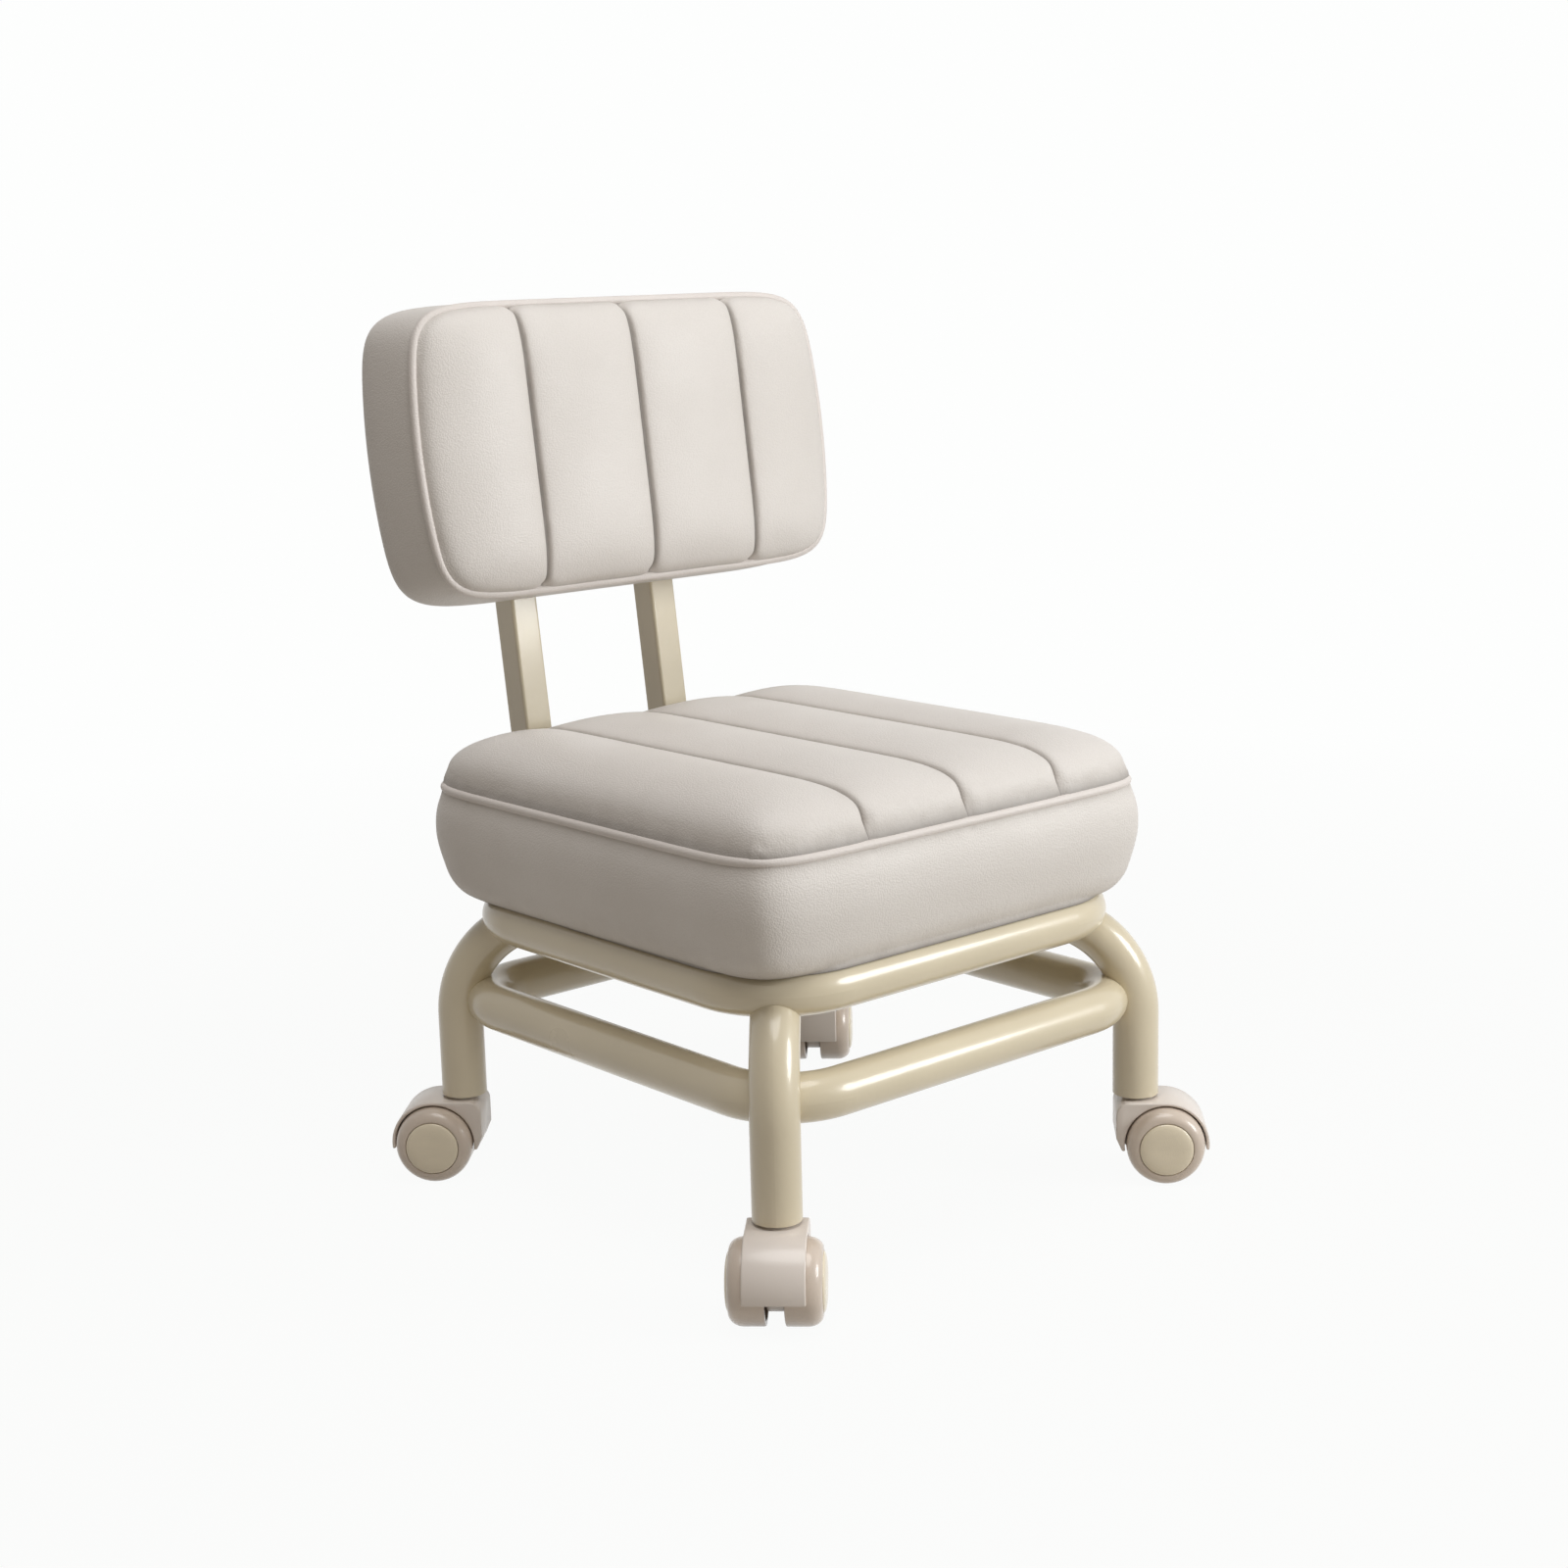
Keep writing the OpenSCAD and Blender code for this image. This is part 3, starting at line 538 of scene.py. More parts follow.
@dataclass(frozen=True)
class NonWoven(Finish):
    """Spun cloth with rows of tiny bond points, as under a seat."""

    fleck: Colour = (0.5, 0.46, 0.4, 1.0)
    flecked: float = 0.5
    bonded: float = 0.35
    bond_scale: float = 620.0
    fibre_scale: float = 900.0
    cloth_height: float = 0.00018
    sheen: float = 0.15

    def paint(self, graph: Graph) -> None:
        """Adds the cloth's nodes.

        Args:
            graph: The tree.
        """
        bonds = graph.add(
            "ShaderNodeTexVoronoi",
            {"feature": "F1", "distance": "CHEBYCHEV"},
            {"Vector": graph.place(), "Scale": self.bond_scale, "Randomness": 0.15},
            "Distance",
        )
        pressed = graph.ramp(bonds, 0.18, 0.3)
        fibres = graph.noise(graph.stretched((1.0, 3.0, 1.0)), self.fibre_scale, 4.0, 0.7)
        tone = graph.blend(graph.ramp(fibres, 0.35, 0.75, 0.0, self.flecked), self.colour, self.fleck)
        tone = graph.blend((1.0 - pressed) * self.bonded, tone, self.fleck)
        graph.skin(
            {
                "Base Color": tone,
                "Roughness": self.roughness,
                "Sheen Weight": self.sheen,
                "Normal": graph.bump(pressed * 0.6 + fibres * 0.4, self.cloth_height),
            }
        )


CREAM_ENAMEL = PowderCoat("cream_enamel", srgb(225, 213, 185), 0.26)
CREAM_CAP = MouldedPlastic("cream_cap", srgb(238, 226, 200), 0.26, scuffed=0.05)
CASTER_PLASTIC = MouldedPlastic("caster_plastic", srgb(226, 212, 198), 0.26)
# The wheels' plastic is the casters' own plastic made darker: painted shade for the wheels tucked under
# the hoods.
SHADED_WHEEL_PLASTIC = MouldedPlastic("wheel_plastic", srgb(216, 201, 186), 0.3)
OFF_WHITE_HIDE = Leatherette("off_white_leatherette", srgb(229, 224, 219), 0.46)
PIPING_HIDE = Leatherette("piping_leatherette", srgb(229, 222, 217), 0.42)
ZINC = BareSteel("zinc_plated_steel", srgb(196, 196, 198), 0.3)
BIRCH = Plywood("birch_plywood", srgb(214, 184, 138), 0.6)
UNDER_CLOTH = NonWoven("under_cloth", srgb(205, 199, 188), 0.85)
SOCKET_NYLON = MouldedPlastic("socket_nylon", srgb(218, 212, 199), 0.42, scuffed=0.1)


# Shared bench


@dataclass
class Bench:
    """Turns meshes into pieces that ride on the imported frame's bodies."""

    frame: dict

    def piece(
        self,
        bm: bmesh.types.BMesh,
        name: str,
        finish: Finish,
        slot: str,
        body: str,
        nodes: tuple[str, ...] = (),
        crease_angle: float | None = 35.0,
    ) -> bpy.types.Object:
        """Makes a finished piece from a bmesh and puts it on its body.

        Args:
            bm: The shape, in metres in the row frame; it is freed.
            name: The piece's name.
            finish: Its finish.
            slot: The record's material slot; not used.
            body: The CAD body that it rides on.
            nodes: CAD nodes that it stands for.
            crease_angle: Angle in degrees past which an edge stays sharp, or None for none.

        Returns:
            The piece's object.
        """
        mesh = bpy.data.meshes.new(name)
        bm.to_mesh(mesh)
        bm.free()
        mesh.polygons.foreach_set("use_smooth", [True] * len(mesh.polygons))
        if crease_angle is not None:
            mesh.set_sharp_from_angle(angle=math.radians(crease_angle))
        mesh.materials.append(finish.material())
        piece = bpy.data.objects.new(name, mesh)
        bpy.context.scene.collection.objects.link(piece)
        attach(piece, body)
        if nodes:
            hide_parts(*nodes)
        log.info("%s: %d faces, stands for %s", name, len(mesh.polygons), ", ".join(nodes) or "nothing")
        return piece

    def dress(self, finish: Finish, *names: str) -> None:
        """Gives CAD nodes that stay in view a finish.

        Args:
            finish: The finish.
            names: The nodes.
        """
        for name in names:
            node = self.frame["nodes"][name]
            if not node.material_slots:
                node.data.materials.append(finish.material())
            for slot in node.material_slots:
                slot.material = finish.material()
        log.info("%s on %s", finish.name, ", ".join(names))


def eased(points: tuple[Pair, ...], between: int) -> list[Pair]:
    """Rounds a line of points with a Catmull-Rom spline.

    Args:
        points: The line's points.
        between: Points to add in each stretch.

    Returns:
        The points of the rounded line, its ends kept.
    """
    line = [Vector(p) for p in points]
    line = [2 * line[0] - line[1], *line, 2 * line[-1] - line[-2]]
    made = []
    for k in range(1, len(line) - 2):
        a, b, c, d = line[k - 1 : k + 3]
        for i in range(between + 1):
            t = i / (between + 1)
            made.append(
                0.5
                * (
                    2 * b
                    + (c - a) * t
                    + (2 * a - 5 * b + 4 * c - d) * t**2
                    + (3 * b - a - 3 * c + d) * t**3
                )
            )
    made.append(line[-2])
    return [(p[0], p[1]) for p in made]


def bell(distance: float, width: float) -> float:
    """A bell curve: 1 at no distance, and next to nothing past twice the width."""
    return math.exp(-((distance / width) ** 2))


def wire(bm: bmesh.types.BMesh, points: list[Vector], closed: bool = True) -> list[bmesh.types.BMEdge]:
    """Draws an outline by extruding its first vertex from point to point.

    Args:
        bm: The mesh to draw in.
        points: The outline's points.
        closed: Whether its last point joins the first.

    Returns:
        The outline's edges.
    """
    first = last = bmesh.ops.create_vert(bm, co=points[0])["vert"][0]
    edges = []
    for point in points[1:]:
        made = bmesh.ops.extrude_vert_indiv(bm, verts=[last])
        last = made["verts"][0]
        last.co = point
        edges += made["edges"]
    if closed:
        edges += bmesh.ops.contextual_create(bm, geom=[last, first])["edges"]
    return edges


def arc(centre: Pair, radius: float, start: float, end: float, steps: int) -> list[Pair]:
    """Points along an arc.

    Args:
        centre: Its centre.
        radius: Its radius.
        start: Angle of its first point, in degrees.
        end: Angle of its last point, in degrees.
        steps: Its stretches.

    Returns:
        The arc's points, both ends included.
    """
    turns = [math.radians(start + (end - start) * k / steps) for k in range(steps + 1)]
    return [(centre[0] + radius * math.cos(a), centre[1] + radius * math.sin(a)) for a in turns]


# Pads

COVER_CLOTH = {
    "quality": 6,
    "mass": 0.3,
    "tension_stiffness": 25,
    "compression_stiffness": 25,
    "shear_stiffness": 8,
    "bending_stiffness": 0.8,
    "use_pressure": True,
}


@dataclass(frozen=True)
class Plate:
    """A flat outline with rounded corners: a board, or the bay that the ring fits into."""

    half: Pair
    corner: float
    shift: float = 0.0

    def edge(self, u: float, v: float, clear: float = 0.0) -> Pair:
        """The outline's point for a point of the unit square's edge.

        Args:
            u: Across the channels.
            v: Along them.
            clear: Room left round the outline.

        Returns:
            The point's x and y, in metres.
        """
        corner = self.corner + clear
        point = Vector((u * (self.half[0] + clear), v * (self.half[1] + clear)))
        flat = [h + clear - corner for h in self.half]
        inner = Vector([max(-f, min(f, c)) for f, c in zip(flat, point)])
        out = point - inner
        if out.length > 0:
            point = inner + out.normalized() * corner
        return (point.x, point.y + self.shift)


@dataclass(frozen=True)
class PadShape:
    """Sizes of a boxed, channelled pad that lies on its back with its piping at z = 0."""

    half: Pair
    bow: float
    rise: float
    crown_powers: Pair
    pitch: float
    groove: float
    side: tuple[Pair, ...]
    board: Plate
    place: Matrix
    bay: Plate | None = None
    bay_depth: float = 0.0
    pocket: float = 0.0
    steps_across: int = 22
    steps_along: int = 84
    outline_power: float = 9.6
    corner_power: float = 6.0
    bow_power: float = 2.0
    groove_power: float = 0.6
    fade_power: float = 6.0

    def rounding(self, u: float, v: float) -> float:
        """A point's distance from the middle by the outline's own measure: 1 all along it."""
        power = self.outline_power
        return (abs(u) ** power + abs(v) ** power) ** (1 / power)

    def drawn_in(self, u: float, v: float) -> Pair:
        """Draws a point of the unit square in to the pad's rounded outline.

        Args:
            u: Its place across the channels, -1 to 1.
            v: Its place along them, -1 to 1.

        Returns:
            Its place across and along after that, in the same shares.
        """
        m = max(abs(u), abs(v))
        if m == 0:
            return (0.0, 0.0)
        share = 1 - (1 - m / self.rounding(u, v)) * m**self.corner_power
        return (u * share, v * share)

    def spread(self, u: float, v: float, growth: float = 0.0) -> Pair:
        """Places a point of the unit square on the pad.

        Args:
            u: Across the channels, -1 to 1.
            v: Along them, -1 to 1.
            growth: What the half sizes grow by.

        Returns:
            The point's x and y, in metres.
        """
        a, b = self.drawn_in(u, v)
        groove = self.pitch / self.half[0]
        outward = max(0.0, (abs(a) - groove) / (1 - groove)) ** self.bow_power
        bow = math.copysign(self.bow * outward, a) * (1 - b * b)
        return (a * (self.half[0] + growth) + bow, b * (self.half[1] + growth))

    def reach(self, u: float, v: float) -> float:
        """Share of the way from the middle to the piping, in rings of the outline's own shape."""
        return min(1.0, self.rounding(*self.drawn_in(u, v)))

    def height(self, u: float, v: float, x: float) -> float:
        """Height of the crown above the piping at a place of the unit square.

        Args:
            u: Across the channels.
            v: Along them.
            x: Distance from the middle line, in metres.

        Returns:
            The height, in metres.
        """
        m = self.reach(u, v)
        k = abs(x) / self.pitch
        f = k if k < 1 else min(k - 1, 0.5)
        ridge = abs(math.sin(math.pi * f)) ** self.groove_power - self.groove_power
        dome = max(1 - m ** self.crown_powers[0], 0.0) ** (1 / self.crown_powers[1])
        return self.rise * dome + self.groove * ridge * (1 - m**self.fade_power)

    def lines_across(self) -> list[float]:
        """Grid lines across the channels, one on each groove and closer together beside it.

        Returns:
            Their places, -1 to 1, in rising order.
        """
        groove = self.pitch / self.half[0]
        n = self.steps_across
        shares = [0.5 - 0.5 * math.cos(math.pi * k / n) for k in range(n + 1)]
        half = [groove * s for s in shares[:-1]] + [groove + (1 - groove) * s for s in shares]
        return [-s for s in reversed(half[1:])] + half

    def lines_along(self) -> list[float]:
        """Grid lines along the channels, closer together towards the piping.

        Returns:
            Their places, -1 to 1, in rising order.
        """
        half = self.steps_along // 2
        shares = [math.sin(math.pi / 2 * k / half) for k in range(half + 1)]
        return [-s for s in reversed(shares[1:])] + shares


@dataclass
class Pad(Bench):
    """A stuffed pad: a cover over its foam and round its board, with piping sewn into its edge."""

    shape: PadShape
    name: str
    nodes: tuple[str, ...]
    fill: float
    swell: float
    side_swell: float
    cord: float = 2.6 * MM
    cord_out: float = -0.9 * MM
    cord_up: float = 0.7 * MM
    deflate: float = 2.0 * MM
    frames: int = 20
    pressure: float = 4.0
    board_gap: float = 0.3 * MM
    below_piping: float = 0.5 * MM
    side_power: float = 0.7
    free_power: float = 0.5
    free_rim: float = 0.12
    held_seam: float = 0.97
    seam_reach: float = 5 * MM
    # Reach of the painted contact shadow at the sides' foot.
    foot_reach: float = 16 * MM
    side_ripples: float = 9 * MM
    crown_ripples: float = 11 * MM
    side_tuck: float = 0.6
    side_tuck_at: Pair = (2 * MM, 2.5 * MM)
    stitch_w: float = 1.1 * MM
    stitch_end: float = 3 * MM
    rim_w: float = 3.2 * MM
    pinch_w: float = 4.5 * MM
    pinch_at: Pair = (3 * MM, 5 * MM)
    piping_w: float = 0.4 * MM
    tuck: float = 1.3 * MM
    pinch: float = 2.6 * MM
    stitch: float = 2.6 * MM
    pucker: float = 0.16 * MM
    lip: float = 0.6 * MM
    rear_panel: tuple[Pair, ...] = ((2 * MM, 0.0), (7 * MM, 0.0), (8 * MM, 0.7 * MM), (9 * MM, 0.0))

    def build(self) -> None:
        """Builds the pad and its piping."""
        cover = self.cover()
        self.piping()

    def cover(self) -> bpy.types.Object:
        """Builds the stuffed cover.

        Returns:
            The cover's object.
        """
        bm = self.sewn_form()
        self.stuff(bm)
        self.press_seams(bm)
        bmesh.ops.transform(bm, matrix=self.shape.place, verts=bm.verts)
        bmesh.ops.recalc_face_normals(bm, faces=bm.faces)
        piece = self.piece(bm, self.name, OFF_WHITE_HIDE, "hide", "frame", self.nodes, None)
        smooth = piece.modifiers.new("rounding", "SUBSURF")
        smooth.levels = smooth.render_levels = 1
        return piece

    def sewn_form(self) -> bmesh.types.BMesh:
        """Draws the sewn form: a crowned grid, its boxed sides, and its back.

        Returns:
            The form, lying on its back.
        """
        shape = self.shape
        us, vs = shape.lines_across(), shape.lines_along()
        bm = bmesh.new()
        across = bm.verts.layers.float.new("across")
        along = bm.verts.layers.float.new("along")
        free = bm.verts.layers.float.new("free")
        for vert in self.grid(bm, us, vs):
            u, v = vert[across], vert[along]
            x, y = shape.spread(u, v)
            vert[free] = self.freedom(x, shape.reach(u, v))
            vert.co = (x, y, shape.height(u, v, x))
        rim = [e for e in bm.edges if e.is_boundary]
        walls = eased(((0.0, 0.0), *shape.side), 2)[1:]
        deepest = walls[-1][0]
        for z, growth in walls:
            rim = self.next_ring(bm, rim)
            for vert in {w for e in rim for w in e.verts}:
                point = Vector(shape.spread(vert[across], vert[along], growth))
                if shape.bay and z < deepest + shape.bay_depth:
                    lip = Vector(shape.bay.edge(vert[across], vert[along], self.lip))
                    if point.length < lip.length:
                        point = lip
                vert.co = (*point, z)
                vert[free] = -math.sin(math.pi * min(z / deepest, 1.0)) ** self.side_power
        if shape.bay:
            seat = deepest + shape.bay_depth
            rings = [(shape.bay, 0.0, deepest), (shape.bay, 0.0, seat)]
            rings += [(shape.board, self.board_gap, z) for z in (seat, deepest + shape.pocket)]
        else:
            rings = [(shape.board, -c, deepest + z) for c, z in self.rear_panel]
        for plate, clear, z in rings:
            rim = self.next_ring(bm, rim)
            for vert in {w for e in rim for w in e.verts}:
                vert.co = (*plate.edge(vert[across], vert[along], clear), z)
                vert[free] = 0.0
        plate, clear, z = rings[-1]
        back = self.grid(bm, us, vs)
        for vert in back:
            m = max(abs(vert[across]), abs(vert[along]), 1e-9)
            x, y = plate.edge(vert[across] / m, vert[along] / m, clear)
            vert.co = (x * m, y * m, z)
            vert[free] = 0.0
        seam = list(set(back).union(*(e.verts for e in rim)))
        bmesh.ops.remove_doubles(bm, verts=seam, dist=0.001 * MM)
        bmesh.ops.recalc_face_normals(bm, faces=bm.faces)
        return bm

    @staticmethod
    def grid(bm: bmesh.types.BMesh, us: list[float], vs: list[float]) -> list[bmesh.types.BMVert]:
        """Adds a grid and notes each vertex's place on the unit square.

        Args:
            bm: The form, with its "across" and "along" layers.
            us: Grid lines across the channels.
            vs: Grid lines along them.

        Returns:
            The grid's vertices.
        """
        across, along = bm.verts.layers.float["across"], bm.verts.layers.float["along"]
        nu, nv = len(us) - 1, len(vs) - 1
        made = bmesh.ops.create_grid(bm, x_segments=nu, y_segments=nv, size=1.0)["verts"]
        for vert in made:
            vert[across] = us[round((vert.co.x + 1) / 2 * nu)]
            vert[along] = vs[round((vert.co.y + 1) / 2 * nv)]
        return made

    @staticmethod
    def next_ring(bm: bmesh.types.BMesh, rim: list[bmesh.types.BMEdge]) -> list[bmesh.types.BMEdge]:
        """Extrudes the rim by one ring.

        Args:
            bm: The form.
            rim: Its open edge.

        Returns:
            The new open edge.
        """
        made = bmesh.ops.extrude_edge_only(bm, edges=rim)["geom"]
        return [e for e in made if isinstance(e, bmesh.types.BMEdge) and e.is_boundary]

    def freedom(self, x: float, m: float) -> float:
        """How far the crown may give at a place: nothing at a seam, all of it between them.

        Args:
            x: Distance from the middle line.
            m: Share of the way to the piping.

        Returns:
            The share, 0 to 1.
        """
        k = abs(x) / self.shape.pitch
        f = k if k < 1 else min(k - 1, 0.5)
        between = min(1.0, math.sin(math.pi * f) ** self.free_power)
        return between * min(1.0, (1 - m) / self.free_rim) ** self.free_power

    def stuff(self, bm: bmesh.types.BMesh) -> None:
        """Blows the cover up from inside as its foam does, with its seams held.

        Args:
            bm: The form, which is changed.
        """
        free = bm.verts.layers.float["free"]
        bm.verts.ensure_lookup_table()
        bm.normal_update()
        base = [v.co.copy() for v in bm.verts]
        shares = [v[free] for v in bm.verts]
        caps = [s * self.swell if s > 0 else -s * self.side_swell for s in shares]
        mesh = bpy.data.meshes.new(self.name + "_form")
        bm.to_mesh(mesh)
        for vert, share in zip(bm.verts, shares):
            mesh.vertices[vert.index].co = vert.co - vert.normal * self.deflate * abs(share)
        form = bpy.data.objects.new(self.name + "_form", mesh)
        bpy.context.scene.collection.objects.link(form)
        held = form.vertex_groups.new(name="held")
        for index, share in enumerate(shares):
            held.add([index], 1.0 - min(abs(share), 1.0), "REPLACE")
        cloth = form.modifiers.new("stuffing", "CLOTH")
        settings = cloth.settings
        for setting, value in COVER_CLOTH.items():
            setattr(settings, setting, value)
        settings.uniform_pressure_force = self.pressure
        settings.vertex_group_mass = held.name
        settings.effector_weights.gravity = 0.0
        cloth.collision_settings.use_collision = False
        cloth.point_cache.frame_start, cloth.point_cache.frame_end = 1, self.frames
        scene = bpy.context.scene
        for step in range(1, self.frames + 1):
            scene.frame_set(step)
        evaluated = form.evaluated_get(bpy.context.evaluated_depsgraph_get())
        for vert, rest, cap, point in zip(bm.verts, base, caps, evaluated.data.vertices):
            moved = point.co - rest
            if moved.length > cap:
                moved *= cap / moved.length if moved.length else 0.0
            vert.co = rest + moved
        scene.frame_set(1)
        bpy.data.objects.remove(form)
        bpy.data.meshes.remove(mesh)

    def press_seams(self, bm: bmesh.types.BMesh) -> None:
        """Presses the cover in along its seams, pinches the grooves' ends, and marks the seams.

        Args:
            bm: The form, which is changed.
        """
        across = bm.verts.layers.float["across"]
        along = bm.verts.layers.float["along"]
        free = bm.verts.layers.float["free"]
        seam = bm.verts.layers.float.new("seam")
        bm.normal_update()
        moves = []
        for vert in bm.verts:
            if vert[free] < 0 or vert.co.z < -self.below_piping:
                near, move = self.side_seam(vert.co)
            else:
                near, move = self.crown_seam(vert.co, vert[across], vert[along])
            vert[seam] = near
            moves.append((vert, vert.normal * move))
        for vert, move in moves:
            vert.co += move

    def side_seam(self, point: Vector) -> Pair:
        """How a place on the pad's side is pulled in below the piping.

        Args:
            point: The place.

        Returns:
            How near it is to a seam or to the side's foot, 0 to 1, which sets painted shade there, and
            how far it moves outward, in metres.
        """
        drop = -point.z
        foot = max(0.0, point.z - self.shape.side[-1][0])
        # The second term rises towards the side's foot, where the pad sits on the ring, so the finish
        # paints a contact shadow line and a darker band there: painted shade.
        near = max(self.held_seam * math.exp(-drop / self.seam_reach), math.exp(-foot / self.foot_reach))
        ripple = self.ripple(point, point.x + point.y) * math.exp(-drop / self.side_ripples)
        middle, width = self.side_tuck_at
        return near, ripple - self.tuck * self.side_tuck * bell(drop - middle, width)

    def crown_seam(self, point: Vector, u: float, v: float) -> Pair:
        """How a place on the pad's crown is pulled in at the grooves and the piping.

        Args:
            point: The place.
            u: Its place across the channels, -1 to 1.
            v: Its place along them, -1 to 1.

        Returns:
            How near it is to a seam, 0 to 1, and how far it moves outward, in metres.
        """
        shape = self.shape
        x, y = shape.spread(u, v)
        k = abs(x) / shape.pitch
        off_groove = abs(k - round(min(k, 1.0))) * shape.pitch
        m = max(abs(u), abs(v), 1e-9)
        off_edge = (Vector(shape.spread(u / m, v / m)) - Vector((x, y))).length
        line = bell(off_groove, self.stitch_w) * min(1.0, off_edge / self.stitch_end)
        start, length = self.pinch_at
        end = bell(off_groove, self.pinch_w) * bell(off_edge - start, length)
        at_piping = self.held_seam * math.exp(-off_edge / self.seam_reach)
        near = max(math.exp(-off_groove / self.seam_reach), at_piping)
        fade = math.exp(-min(off_groove, off_edge) / self.crown_ripples)
        ripple = self.ripple(point, y if off_groove < off_edge else x + y) * fade * (1 - line)
        rim = self.tuck * bell(off_edge, self.rim_w) if off_edge > self.piping_w else 0.0
        return near, ripple - (self.stitch * line + self.pinch * end + rim)

    def ripple(self, point: Vector, way: float) -> float:
        """Height of the small puckers beside a seam.

        Args:
            point: The place on the cover.
            way: The distance along the seam.

        Returns:
            The height, in metres.
        """
        swing = noise.noise(Vector((way / (9 * MM), point.x / (60 * MM), point.y / (60 * MM))))
        fine = noise.noise(Vector((way / (3.5 * MM), 7.0, point.x / (30 * MM))))
        return self.pucker * (swing + 0.4 * fine)

    def piping(self) -> None:
        """Sews the piping round the cover's edge, as one closed round cord."""
        shape = self.shape
        us, vs = shape.lines_across(), shape.lines_along()
        rim = [(u, -1.0) for u in us[:-1]]
        rim += [(1.0, v) for v in vs[:-1]]
        rim += [(u, 1.0) for u in reversed(us[1:])]
        rim += [(-1.0, v) for v in reversed(vs[1:])]
        curve = bpy.data.curves.new(self.name + "_piping", "CURVE")
        curve.dimensions = "3D"
        curve.bevel_depth = self.cord
        curve.bevel_resolution = 5
        curve.use_fill_caps = False
        line = curve.splines.new("POLY")
        line.points.add(len(rim) - 1)
        line.use_cyclic_u = True
        for point, (u, v) in zip(line.points, rim):
            point.co = (*shape.spread(u, v, self.cord_out), self.cord_up, 1.0)
        draft = bpy.data.objects.new("piping_draft", curve)
        bpy.context.scene.collection.objects.link(draft)
        depsgraph = bpy.context.evaluated_depsgraph_get()
        bm = bmesh.new()
        bm.from_mesh(bpy.data.meshes.new_from_object(draft.evaluated_get(depsgraph)))
        bpy.data.objects.remove(draft)
        bmesh.ops.remove_doubles(bm, verts=bm.verts, dist=0.01 * MM)
        seam = bm.verts.layers.float.new("seam")
        # The cord's lower half gets a seam value of up to 0.5, so the finish makes its underside darker:
        # painted shade.
        for vert in bm.verts:
            vert[seam] = 0.5 * max(0.0, (self.cord_up - vert.co.z) / self.cord)
        bmesh.ops.transform(bm, matrix=shape.place, verts=bm.verts)
        bmesh.ops.recalc_face_normals(bm, faces=bm.faces)
        node = self.name.replace("pad", "piping")
        self.piece(bm, node + "_cord", PIPING_HIDE, "piping_hide", "frame", (node,), None)


# Casters


class Corner(Enum):
    """The stool's corners, as the signs of their x and y."""

    FRONT_LEFT = (-1, -1)
    FRONT_RIGHT = (1, -1)
    REAR_LEFT = (-1, 1)
    REAR_RIGHT = (1, 1)

    @property
    def label(self) -> str:
        """The corner's name in the frame's node names."""
        return self.name.lower()


